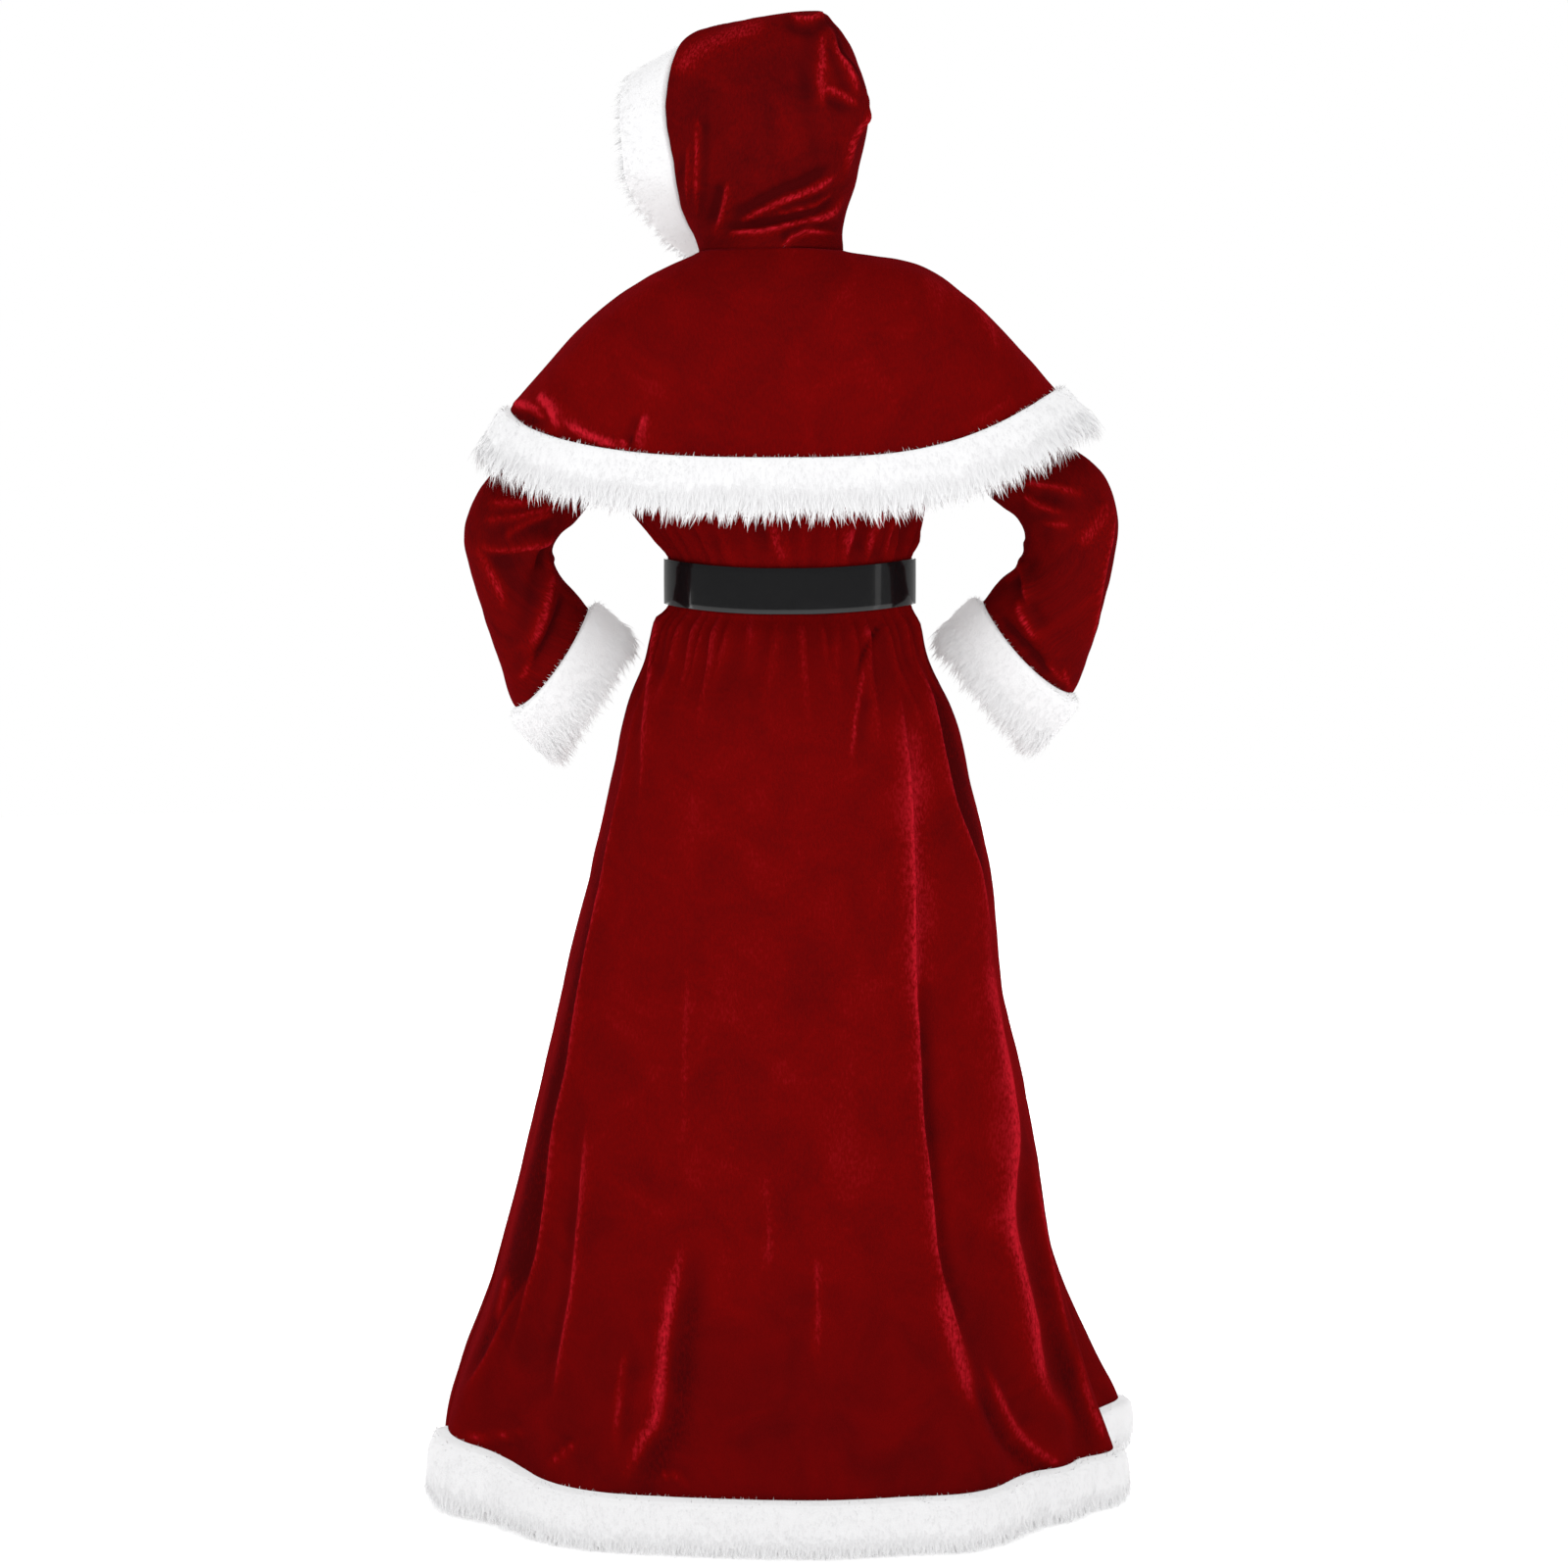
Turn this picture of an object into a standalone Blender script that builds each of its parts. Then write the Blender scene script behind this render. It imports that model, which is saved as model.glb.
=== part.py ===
"""Christmas costume dress with a hooded cape, as a worn garment with nobody in it.

Units are metres and +Z is up. The front faces -Y and the wearer's left is +X. The origin lies
midway between the shoulders, at the height of the shoulder line, where the garment is held up.
Angles round the garment are in degrees: 0 is the wearer's left and 90 is the back.
"""
import math
from collections import namedtuple

import bmesh
import bpy
from mathutils import Matrix, Vector

GARMENT = "christmas_costume_dress"

# Cloth and seams
CLOTH = 0.002
SEAM = 0.0003
SEAM_COLUMN = 0.003
LAPPED_EDGE = 0.0022
HOOD_SEAM = 0.0012
NORMAL_STEP = 1.0

# Heights
WAIST_Z = -0.3170
HEM_Z = -1.262
UNDERARM_Z = -0.135
SHOULDER_Z = 0.0
NECK_SIDE_Z = 0.0385
NECK_BACK_Z = 0.027
NECK_FRONT_Z = 0.020

FOLD_GROWTH = 1.5

# The armhole, as the part of the ring's angle that it takes at its widest
ARMHOLE_ANGLE = 30.0

# Gathers at the waist: each is two columns of a panel
PANEL_GATHERS = 19
GATHER_UNDER_BELT = 0.0012
GATHER_DEPTH = 0.0045
GATHER_FREED = 0.02
GATHER_FADE_DOWN = 0.15
GATHER_FADE_UP = 0.10

# Fur trims: width along the cloth and thickness of the pile
HEM_FUR = 0.058
CAPE_FUR = 0.066
CUFF_FUR = 0.068
HOOD_FUR = 0.068
HOOD_FUR_DROP = 0.78
HOOD_FUR_END = 0.985
CAPE_OPENING = 0.012
HEM_PILE = 0.018
CAPE_PILE = 0.012
CUFF_PILE = 0.017
HOOD_PILE = 0.016
FUR_START = 0.0012
HOOD_FUR_START = 0.0020

# Belt and buckle
BELT_WIDTH = 0.050
BELT_WALL = 0.003
BELT_EDGE = BELT_WIDTH / 2 + 0.001
BELT_EASE = 0.0013
BELT_TAIL_ANGLE = 34.0
BELT_RISE_ANGLE = 21.0
BELT_COLUMNS = 60
BUCKLE_WIDTH = 0.070
BUCKLE_HEIGHT = 0.062
BUCKLE_STANDOFF = 0.0003
BUCKLE_ROD = 0.006
BUCKLE_EDGE = 0.0008
PRONG_WALL = 0.003
PRONG_HEIGHT = 0.005

# Neck clasp
CLASP_DOWN = 0.12
CLASP_WIDTH = 0.016
CLASP_HEIGHT = 0.008
CLASP_WALL = 0.0016

# Hood
HOOD_CENTRE = Vector((0.0125, 0.0, 0.0))
HOOD_CROWN = 0.008
HOOD_SIDE_TURN = 0.58

# Materials: colour, roughness and metallic value
VELVET = ((0.190, 0.003, 0.009), 0.55, 0.0)
FUR = ((0.880, 0.880, 0.885), 0.90, 0.0)
PATENT = ((0.008, 0.008, 0.009), 0.12, 0.0)
METAL = ((0.780, 0.760, 0.720), 0.25, 1.0)

Ring = namedtuple("Ring", "z left right back front")
Fold = namedtuple("Fold", "name waist hem width depth start")
Station = namedtuple("Station", "along x y z across depth lean")
Drape = namedtuple("Drape", "down left left_z right right_z back back_z front front_z")
Slice = namedtuple("Slice", "rise back face half back_z face_z pinch turn")

# The heights of the panels' rows, between their edges
SKIRT_ROWS = (-0.362, -0.39, -0.43, -0.49, -0.58, -0.70, -0.84, -0.98, -1.10, -1.19)
BODICE_ROWS = (-0.265, -0.225, -0.180)
ARMHOLE_ROWS = 6

# Columns of each panel, and the rows and columns that shape the cape and the hood
BODICE_COLUMNS = 26
HEM_FUR_COLUMNS = 32
CAPE_BACK_COLUMNS = 26
CAPE_FRONT_COLUMNS = 13
CAPE_ROWS = (0.0, 0.14, 0.30, 0.46, 0.62, 0.80, 1.0)
SLEEVE_ROWS = (0.14, 0.28, 0.40, 0.50, 0.60, 0.70, 0.80, 0.90)
SLEEVE_COLUMNS = 20
CUFF_FUR_COLUMNS = 24
CAPE_FUR_COLUMNS = 48
HOOD_FUR_COLUMNS = 34
HOOD_RISES = (0.0, 0.09, 0.19, 0.30, 0.42, 0.55, 0.68, 0.80, 0.89, 0.955, 0.988, 0.99999)
HOOD_AROUNDS = (0.0, 0.05, 0.12, 0.20, 0.29, 0.39, 0.50, 0.62, 0.75, 0.88, 1.0)

# The skirt's rings, from below the hem to the waist
SKIRT = [
    Ring(-1.330, 0.386, 0.360, 0.346, 0.306),
    Ring(-1.262, 0.384, 0.356, 0.334, 0.298),
    Ring(-1.200, 0.368, 0.336, 0.318, 0.288),
    Ring(-1.091, 0.328, 0.305, 0.288, 0.266),
    Ring(-0.980, 0.298, 0.287, 0.262, 0.246),
    Ring(-0.869, 0.271, 0.266, 0.236, 0.226),
    Ring(-0.759, 0.2455, 0.241, 0.212, 0.208),
    Ring(-0.649, 0.218, 0.231, 0.190, 0.190),
    Ring(-0.540, 0.192, 0.207, 0.168, 0.172),
    Ring(-0.458, 0.175, 0.186, 0.150, 0.156),
    Ring(-0.404, 0.154, 0.160, 0.131, 0.137),
    Ring(-0.364, 0.141, 0.150, 0.114, 0.118),
    Ring(-0.345, 0.1270, 0.1400, 0.098, 0.101),
    Ring(-0.334, 0.1265, 0.1395, 0.097, 0.100),
    Ring(-0.300, 0.1265, 0.1395, 0.097, 0.100),
]

# The bodice's rings, from the waist to the neck
BODICE = [
    Ring(-0.335, 0.1265, 0.1395, 0.097, 0.100),
    Ring(-0.300, 0.1265, 0.1395, 0.097, 0.100),
    Ring(-0.290, 0.1270, 0.1400, 0.098, 0.101),
    Ring(-0.268, 0.142, 0.148, 0.106, 0.110),
    Ring(-0.233, 0.170, 0.156, 0.114, 0.122),
    Ring(-0.190, 0.172, 0.160, 0.120, 0.134),
    Ring(-0.135, 0.165, 0.162, 0.124, 0.138),
    Ring(-0.090, 0.160, 0.163, 0.124, 0.126),
    Ring(-0.045, 0.160, 0.166, 0.114, 0.106),
    Ring(-0.015, 0.158, 0.164, 0.096, 0.088),
    Ring(0.004, 0.142, 0.150, 0.078, 0.074),
    Ring(0.020, 0.120, 0.122, 0.066, 0.064),
    Ring(0.040, 0.101, 0.095, 0.060, 0.058),
]

# The skirt's largest folds: angles at waist and hem, width in degrees, depth outwards at the
# hem, and the height where each begins
SKIRT_FOLDS = [
    Fold("left front edge", 345, 342, 15, 0.012, -0.50),
    Fold("left side trough", 8, 5, 13, -0.009, -0.50),
    Fold("left back edge", 26, 24, 12, 0.013, -0.42),
    Fold("left back trough", 42, 39, 13, -0.009, -0.55),
    Fold("left back swell", 60, 57, 15, 0.007, -0.70),
    Fold("centre trough", 84, 80, 18, -0.005, -0.80),
    Fold("right back edge", 118, 120, 13, 0.012, -0.42),
    Fold("right back trough", 133, 138, 12, -0.014, -0.45),
    Fold("right corner", 158, 163, 11, 0.032, -0.90),
    Fold("right side trough", 178, 182, 11, -0.032, -0.90),
    Fold("right front corner", 196, 203, 14, 0.058, -0.90),
    Fold("right front trough", 216, 227, 14, -0.016, -0.55),
    Fold("front right edge", 242, 246, 14, 0.014, -0.45),
    Fold("front trough", 268, 267, 17, -0.010, -0.60),
    Fold("front left edge", 294, 296, 14, 0.015, -0.45),
    Fold("front left trough", 320, 321, 15, -0.013, -0.50),
]

# The sleeves from the armhole to the cuff's end; lean turns the ring's outer side up
LEFT_SLEEVE = [
    Station(0.00, 0.2040, 0.008, -0.1025, 0.0485, 0.053, 61),
    Station(0.17, 0.2285, 0.026, -0.146, 0.047, 0.052, 44),
    Station(0.33, 0.253, 0.036, -0.196, 0.050, 0.047, 33),
    Station(0.45, 0.282, 0.046, -0.234, 0.055, 0.048, 16),
    Station(0.55, 0.297, 0.050, -0.264, 0.052, 0.051, -2),
    Station(0.65, 0.298, 0.044, -0.294, 0.045, 0.050, -16),
    Station(0.77, 0.288, 0.028, -0.331, 0.047, 0.053, -30),
    Station(0.89, 0.271, 0.008, -0.368, 0.057, 0.059, -43),
    Station(1.00, 0.258, -0.012, -0.400, 0.067, 0.064, -53),
    Station(1.25, 0.208, -0.046, -0.4510, 0.068, 0.066, -57),
]
RIGHT_SLEEVE = [
    Station(0.00, 0.2030, 0.008, -0.0970, 0.0485, 0.053, 61),
    Station(0.17, 0.2325, 0.026, -0.136, 0.047, 0.052, 44),
    Station(0.33, 0.259, 0.036, -0.184, 0.050, 0.047, 33),
    Station(0.45, 0.293, 0.046, -0.214, 0.057, 0.048, 18),
    Station(0.55, 0.310, 0.050, -0.245, 0.054, 0.051, 0),
    Station(0.65, 0.313, 0.044, -0.278, 0.049, 0.050, -13),
    Station(0.77, 0.305, 0.028, -0.316, 0.051, 0.053, -26),
    Station(0.89, 0.288, 0.008, -0.353, 0.062, 0.060, -37),
    Station(1.00, 0.271, -0.012, -0.3885, 0.070, 0.065, -45),
    Station(1.25, 0.220, -0.046, -0.447, 0.071, 0.067, -50),
]

# The cape: how far each side reaches, and its height, from the neck down; 1 is the red hem
CAPE = [
    Drape(0.00, 0.091, 0.046, 0.066, 0.046, 0.078, 0.046, 0.074, 0.046),
    Drape(0.25, 0.155, 0.016, 0.150, 0.031, 0.118, 0.004, 0.112, 0.002),
    Drape(0.50, 0.213, -0.027, 0.209, -0.011, 0.144, -0.054, 0.142, -0.056),
    Drape(0.75, 0.258, -0.075, 0.255, -0.058, 0.162, -0.116, 0.160, -0.118),
    Drape(1.00, 0.299, -0.124, 0.297, -0.105, 0.180, -0.179, 0.174, -0.179),
    Drape(1.30, 0.331, -0.184, 0.342, -0.155, 0.195, -0.248, 0.188, -0.246),
]
CAPE_SQUARENESS = 3.0
CAPE_FULLNESS_LEFT = 1.2
CAPE_FULLNESS_RIGHT = 2.4

# The hood, from the neck seam to the crown, in its own turned axes
HOOD = [
    Slice(0.00, -0.078, 0.074, 0.078, 0.0476, 0.0476, 0.62, 8),
    Slice(0.15, -0.081, 0.074, 0.081, 0.083, 0.080, 0.30, 34),
    Slice(0.35, -0.094, 0.076, 0.097, 0.135, 0.130, 0.12, 52),
    Slice(0.58, -0.111, 0.084, 0.100, 0.200, 0.192, 0.08, 55),
    Slice(0.80, -0.094, 0.096, 0.098, 0.262, 0.246, 0.06, 55),
    Slice(1.00, -0.066, 0.114, 0.094, 0.303, 0.278, 0.00, 55),
]


def clear_scene():
    for thing in list(bpy.data.objects):
        bpy.data.objects.remove(thing, do_unlink=True)


def new_collection(name):
    collection = bpy.data.collections.new(name)
    bpy.context.scene.collection.children.link(collection)
    return collection


def new_material(name, colour, roughness, metallic):
    material = bpy.data.materials.new(name)
    material.use_nodes = True
    surface = material.node_tree.nodes["Principled BSDF"]
    surface.inputs["Base Color"].default_value = (*colour, 1.0)
    surface.inputs["Roughness"].default_value = roughness
    surface.inputs["Metallic"].default_value = metallic
    material.diffuse_color = (*colour, 1.0)
    return material


def add_block(name, size, material, collection=None):
    """A block of a size, made as a cube primitive with its scale applied."""
    bpy.ops.mesh.primitive_cube_add(size=1.0)
    block = bpy.context.object
    block.name = name
    block.data.transform(Matrix.Diagonal((*size, 1.0)))
    block.data.materials.append(material)
    for holder in list(block.users_collection):
        holder.objects.unlink(block)
    (collection or bpy.data.collections[GARMENT]).objects.link(block)
    if collection is None:
        block.parent = bpy.data.objects[GARMENT + "_wearer_hold"]
    return block


def slope(rows, index, column):
    """How fast a column changes at a row, from the rows beside it."""
    before = rows[max(index - 1, 0)]
    after = rows[min(index + 1, len(rows) - 1)]
    return (after[column] - before[column]) / (after[0] - before[0])


def read(rows, at):
    """A table's columns at a value of its first column, on a smooth curve through its rows."""
    at = min(max(at, rows[0][0]), rows[-1][0])
    upper = next(index for index in range(1, len(rows)) if at <= rows[index][0])
    low, high = rows[upper - 1], rows[upper]
    span = high[0] - low[0]
    part = (at - low[0]) / span
    rise = part * part * (3.0 - 2.0 * part)
    leave = part * (1.0 - part) ** 2 * span
    arrive = part * part * (part - 1.0) * span
    columns = [at]
    for column in range(1, len(low)):
        value = low[column] + (high[column] - low[column]) * rise
        value += slope(rows, upper - 1, column) * leave
        value += slope(rows, upper, column) * arrive
        columns.append(value)
    return type(low)(*columns)


def ease(value):
    """0 to 1 with soft ends."""
    value = min(max(value, 0.0), 1.0)
    return value * value * (3.0 - 2.0 * value)


def mix(first, second, part):
    return first + (second - first) * part


def rounded(value, power):
    """A sine or cosine raised to a power, with its sign kept."""
    return math.copysign(abs(value) ** power, value)


def oval(angle, left, right, back, front, squareness):
    """The x and y of a point on an oval with four unlike reaches."""
    across = math.cos(math.radians(angle))
    depth = math.sin(math.radians(angle))
    power = 2.0 / squareness
    x = rounded(across, power) * (left if across >= 0 else right)
    y = rounded(depth, power) * (back if depth >= 0 else front)
    return x, y


def ring_point(rows, angle, z, outwards=0.0):
    """A point of a tube of rings, moved out from the tube's axis."""
    ring = read(rows, z)
    x, y = oval(angle, ring.left, ring.right, ring.back, ring.front, 2.15)
    away = math.hypot(x, y)
    return Vector((x * (1.0 + outwards / away), y * (1.0 + outwards / away), z))


def turn_between(first, second):
    """The signed angle between two directions, in degrees."""
    return (first - second + 180.0) % 360.0 - 180.0


def fold_depth(angle, z):
    """How far the skirt's folds stand out at an angle and a height."""
    down = (WAIST_Z - z) / (WAIST_Z - HEM_Z)
    total = 0.0
    for fold in SKIRT_FOLDS:
        offset = turn_between(angle, mix(fold.waist, fold.hem, down)) / fold.width
        grown = min(max((fold.start - z) / (fold.start - HEM_Z), 0.0), 1.0) ** FOLD_GROWTH
        if abs(offset) < 1.0:
            total += fold.depth * grown * (0.5 + 0.5 * math.cos(math.pi * offset))
    return total


def gather_depth(away, fade):
    """How deep the gathers are at a distance from the waist: pressed flat under the belt."""
    freed = ease((away - BELT_EDGE) / GATHER_FREED)
    faded = 1.0 - ease((away - BELT_EDGE) / fade)
    return mix(GATHER_UNDER_BELT, GATHER_DEPTH, freed) * faded


def skirt_point(angle, z, gather=0.0):
    """A point of the skirt; gather is -1 to 1 between the valley and the ridge of a gather."""
    out = fold_depth(angle, z) + gather * gather_depth(WAIST_Z - z, GATHER_FADE_DOWN)
    return ring_point(SKIRT, angle, z, out)


def bodice_point(angle, z, gather=0.0):
    """A point of the bodice, with its gathers as on the skirt."""
    out = gather * gather_depth(z - WAIST_Z, GATHER_FADE_UP)
    return ring_point(BODICE, angle, z, out)


def armhole_angle(z):
    """How much of a ring the armhole takes, to each side of the shoulder seam."""
    middle = (UNDERARM_Z + SHOULDER_Z) / 2.0
    part = (z - middle) / (SHOULDER_Z - middle)
    if abs(part) >= 1.0:
        return 0.0
    return ARMHOLE_ANGLE * (1.0 - part * part) ** 0.4


def armhole_height(turn):
    """The height of the armhole's edge; turn 0 is the shoulder and 180 the underarm."""
    middle = (UNDERARM_Z + SHOULDER_Z) / 2.0
    return middle + (SHOULDER_Z - middle) * math.cos(math.radians(turn))


def neckline(angle):
    """The height of the neck edge."""
    depth = math.sin(math.radians(angle))
    middle = NECK_BACK_Z if depth > 0 else NECK_FRONT_Z
    return mix(NECK_SIDE_Z, middle, abs(depth) ** 1.5)


def normal_at(surface, angle, second, step):
    """The outward direction of a surface given by an angle and a second number."""
    along = surface(angle + NORMAL_STEP, second) - surface(angle - NORMAL_STEP, second)
    down = surface(angle, second - step) - surface(angle, second + step)
    return down.cross(along).normalized()


def sheet(rows, closed=False):
    """The points and faces of a grid of rows of points, closed into a tube when asked."""
    points = [point for row in rows for point in row]
    width = len(rows[0])
    faces = []
    for row in range(len(rows) - 1):
        for column in range(width if closed else width - 1):
            after = (column + 1) % width
            low, high = row * width, (row + 1) * width
            faces.append((low + column, low + after, high + after, high + column))
    return points, faces


def add_object(name, points, faces, material):
    mesh = bpy.data.meshes.new(name)
    mesh.from_pydata([tuple(point) for point in points], [], faces)
    mesh.shade_smooth()
    mesh.materials.append(material)
    piece = bpy.data.objects.new(name, mesh)
    bpy.data.collections[GARMENT].objects.link(piece)
    piece.parent = bpy.data.objects[GARMENT + "_wearer_hold"]
    return piece


def add_cloth(name, rows, material, closed=False, wall=CLOTH):
    """A cloth piece: an open surface through its rows, with a wall to each side of it."""
    points, faces = sheet(rows, closed)
    piece = add_object(name, points, faces, material)
    solidify = piece.modifiers.new("wall", "SOLIDIFY")
    solidify.thickness = wall
    solidify.offset = 0.0
    return piece


def add_fur(name, place, stops, width, pile, material, closed=False, start=FUR_START, inside=0.6):
    """A fur strip: a plump band set out by place(stop, along, out) at each of its stops."""
    section = [
        (start, 0.45 * pile), (0.10 * width, 1.0 * pile), (0.50 * width, 1.15 * pile),
        (0.88 * width, 0.95 * pile), (width, 0.30 * pile), (width, -0.30 * pile),
        (0.80 * width, -inside * pile), (0.12 * width, -inside * pile), (start, -0.30 * pile),
    ]
    rows = [[place(stop, along, out) for along, out in section] for stop in stops]
    if closed:
        rows.append(rows[0])
    points, faces = sheet(rows, closed=True)
    if closed:
        count = (len(rows) - 1) * len(section)
        points = points[:count]
        faces = [tuple(index % count for index in face) for face in faces]
    else:
        last = (len(rows) - 1) * len(section)
        faces.append(tuple(range(len(section) - 1, -1, -1)))
        faces.append(tuple(range(last, last + len(section))))
    strip = add_object(name, points, faces, material)
    solid = bmesh.new()
    solid.from_mesh(strip.data)
    bmesh.ops.recalc_face_normals(solid, faces=solid.faces)
    solid.to_mesh(strip.data)
    solid.free()
    return strip


def spread(first, last, count, edge):
    """Stops from first to last, with one more stop close to each end, along the seams."""
    inner = [mix(first, last, index / count) for index in range(1, count)]
    sign = math.copysign(1.0, last - first)
    return [first, first + edge * sign] + inner + [last - edge * sign, last]


def gathered_row(surface, angles, z):
    """A panel's row: its stops alternate between the ridges and the valleys of the gathers."""
    row = []
    last = len(angles) - 1
    for index, angle in enumerate(angles):
        at_seam = index < 3 or index > last - 3
        gather = 0.0 if at_seam else (1.0 if index % 2 else -1.0)
        row.append(surface(angle, z, gather))
    return row


def seam_angle(reach, away=0.5 * SEAM, squareness=2.0):
    """The angle where a ring has come a short way away from one of its axes."""
    return math.degrees(math.asin((away / reach) ** (squareness / 2.0)))


def add_skirt(material):
    """Two panels from the waist to the fur, joined at the side seams."""
    heights = [WAIST_Z - SEAM / 2, WAIST_Z - BELT_EDGE, *SKIRT_ROWS, HEM_Z]
    for name, first in (("skirt_back", 0.0), ("skirt_front", 180.0)):
        rows = []
        for z in heights:
            reach = read(SKIRT, z).back
            gap = seam_angle(reach)
            edge = seam_angle(reach, SEAM_COLUMN)
            angles = spread(first + gap, first + 180.0 - gap, 2 * PANEL_GATHERS, edge)
            rows.append(gathered_row(skirt_point, angles, z))
        add_cloth(name, rows, material)


def add_hem_fur(material):
    """Two strips below the skirt, standing on the floor at their lower edges."""
    def place(angle, along, out):
        away = normal_at(skirt_point, angle, HEM_Z, 0.01)
        away.z = 0.0
        return skirt_point(angle, HEM_Z - along) + away.normalized() * out

    for name, first in (("hem_fur_back", 0.0), ("hem_fur_front", 180.0)):
        gap = seam_angle(read(SKIRT, HEM_Z).back)
        stops = spread(first + gap, first + 180.0 - gap, HEM_FUR_COLUMNS, 1.0)
        add_fur(name, place, stops, HEM_FUR, HEM_PILE, material)


def add_bodice(material):
    """Two panels from the waist to the neck, with the armholes cut at their sides."""
    heights = [WAIST_Z + SEAM / 2, WAIST_Z + BELT_EDGE, *BODICE_ROWS]
    for row in range(ARMHOLE_ROWS):
        heights.append(armhole_height(180.0 - 180.0 * row / (ARMHOLE_ROWS - 1)))
    for name, first in (("bodice_back", 0.0), ("bodice_front", 180.0)):
        rows = []
        for z in heights:
            reach = read(BODICE, z).back
            gap = seam_angle(reach) + armhole_angle(z)
            edge = seam_angle(reach, SEAM_COLUMN)
            angles = spread(first + gap, first + 180.0 - gap, BODICE_COLUMNS, edge)
            rows.append(gathered_row(bodice_point, angles, z))
        for part in (0.5, 1.0):
            rows.append([bodice_point(angle, mix(SHOULDER_Z, neckline(angle), part)) for angle in angles])
        add_cloth(name, rows, material)


def armhole_point(side, turn):
    """A point of the sleeve's top edge, which laps on the armhole; turn 0 is the shoulder."""
    z = armhole_height(turn)
    hole = armhole_angle(z) * (1.0 if math.sin(math.radians(turn)) >= 0 else -1.0)
    angle = hole if side > 0 else 180.0 - hole
    return bodice_point(angle, z) + normal_at(bodice_point, angle, z, 0.004) * LAPPED_EDGE


def sleeve_point(stations, side, along, turn, outwards=0.0):
    """A point of a sleeve: turn 0 is the outer side of the arm and 90 is its back."""
    here = read(stations, along)
    lean = math.radians(here.lean)
    outer = Vector((math.cos(lean), 0.0, math.sin(lean)))
    back = Vector((0.0, 1.0, 0.0))
    cosine, sine = math.cos(math.radians(turn)), math.sin(math.radians(turn))
    point = Vector((here.x, here.y, here.z))
    point += outer * (here.across + outwards) * cosine + back * (here.depth + outwards) * sine
    return Vector((point.x * side, point.y, point.z))


def add_sleeves(velvet, fur):
    turns = [360.0 * index / SLEEVE_COLUMNS for index in range(SLEEVE_COLUMNS)]
    fur_turns = [360.0 * index / CUFF_FUR_COLUMNS for index in range(CUFF_FUR_COLUMNS)]
    sleeves = (("left", 1.0, LEFT_SLEEVE), ("right", -1.0, RIGHT_SLEEVE))
    for name, side, stations in sleeves:
        top = [armhole_point(side, turn) for turn in turns]
        first = [sleeve_point(stations, side, 0.0, turn) for turn in turns]
        between = [low.lerp(high, 0.45) for low, high in zip(top, first)]
        rows = [top, between, first]
        for along in (*SLEEVE_ROWS, 1.0 - SEAM):
            rows.append([sleeve_point(stations, side, along, turn) for turn in turns])
        if side < 0:
            rows = [row[::-1] for row in rows]
        add_cloth("sleeve_" + name, rows[::-1], velvet, closed=True)

        def place(turn, along, out):
            station = 1.0 + (stations[-1].along - 1.0) * along / CUFF_FUR
            return sleeve_point(stations, side, station, turn, out)

        stops = fur_turns if side > 0 else fur_turns[::-1]
        add_fur("cuff_fur_" + name, place, stops, CUFF_FUR, CUFF_PILE, fur, closed=True)


def cape_squareness(down):
    return mix(2.0, CAPE_SQUARENESS, ease(down * 1.4))


def cape_gap(angle, down):
    """The angle that a panel keeps clear of its seam, or of the opening at the centre front."""
    drape = read(CAPE, down)
    if angle == 270.0:
        away = mix(0.5 * SEAM, CAPE_OPENING, min(down, 1.0) ** 1.5)
        return seam_angle(0.5 * (drape.left + drape.right), away, cape_squareness(down))
    return seam_angle(drape.back, 0.8 * SEAM, cape_squareness(down))


def cape_point(angle, down):
    """A point of the cape; down is 0 at the neck seam and 1 at the red hem."""
    drape = read(CAPE, down)
    x, y = oval(angle, drape.left, drape.right, drape.back, drape.front, cape_squareness(down))
    fullness = CAPE_FULLNESS_LEFT if x >= 0 else CAPE_FULLNESS_RIGHT
    depth = abs(math.sin(math.radians(angle))) ** mix(0.9, fullness, ease(down))
    side_z = mix(drape.right_z, drape.left_z, 0.5 + 0.5 * math.cos(math.radians(angle)))
    middle_z = drape.back_z if y >= 0 else drape.front_z
    return Vector((x, y, mix(side_z, middle_z, depth)))


def cape_upwards(angle, rise):
    """The cape's surface with its second number growing upwards, as on the skirt."""
    return cape_point(angle, -rise)


def add_cape(velvet, fur):
    """A back and two fronts, joined along the shoulders and open at the centre front."""
    panels = (("cape_back", 0.0, 180.0, CAPE_BACK_COLUMNS),
              ("cape_front_right", 180.0, 270.0, CAPE_FRONT_COLUMNS),
              ("cape_front_left", 270.0, 360.0, CAPE_FRONT_COLUMNS))
    for name, first, last, columns in panels:
        rows = []
        for down in CAPE_ROWS:
            first_gap = cape_gap(first, down)
            last_gap = cape_gap(last, down)
            edge = seam_angle(read(CAPE, down).back, SEAM_COLUMN, cape_squareness(down))
            angles = spread(first + first_gap, last - last_gap, columns, edge)
            rows.append([cape_point(angle, down) for angle in angles])
        add_cloth(name, rows[::-1], velvet)

    def place(angle, along, out):
        down = 1.0 + (CAPE[-1].down - 1.0) * along / CAPE_FUR
        away = normal_at(cape_upwards, angle, -1.12, 0.02)
        return cape_point(angle, down) + away * out

    gap = cape_gap(270.0, 1.0)
    ends = (gap - 90.0, 270.0 - gap)
    stops = [mix(*ends, index / CAPE_FUR_COLUMNS) for index in range(CAPE_FUR_COLUMNS + 1)]
    add_fur("cape_hem_fur", place, stops, CAPE_FUR, CAPE_PILE, fur, inside=0.35)


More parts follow.
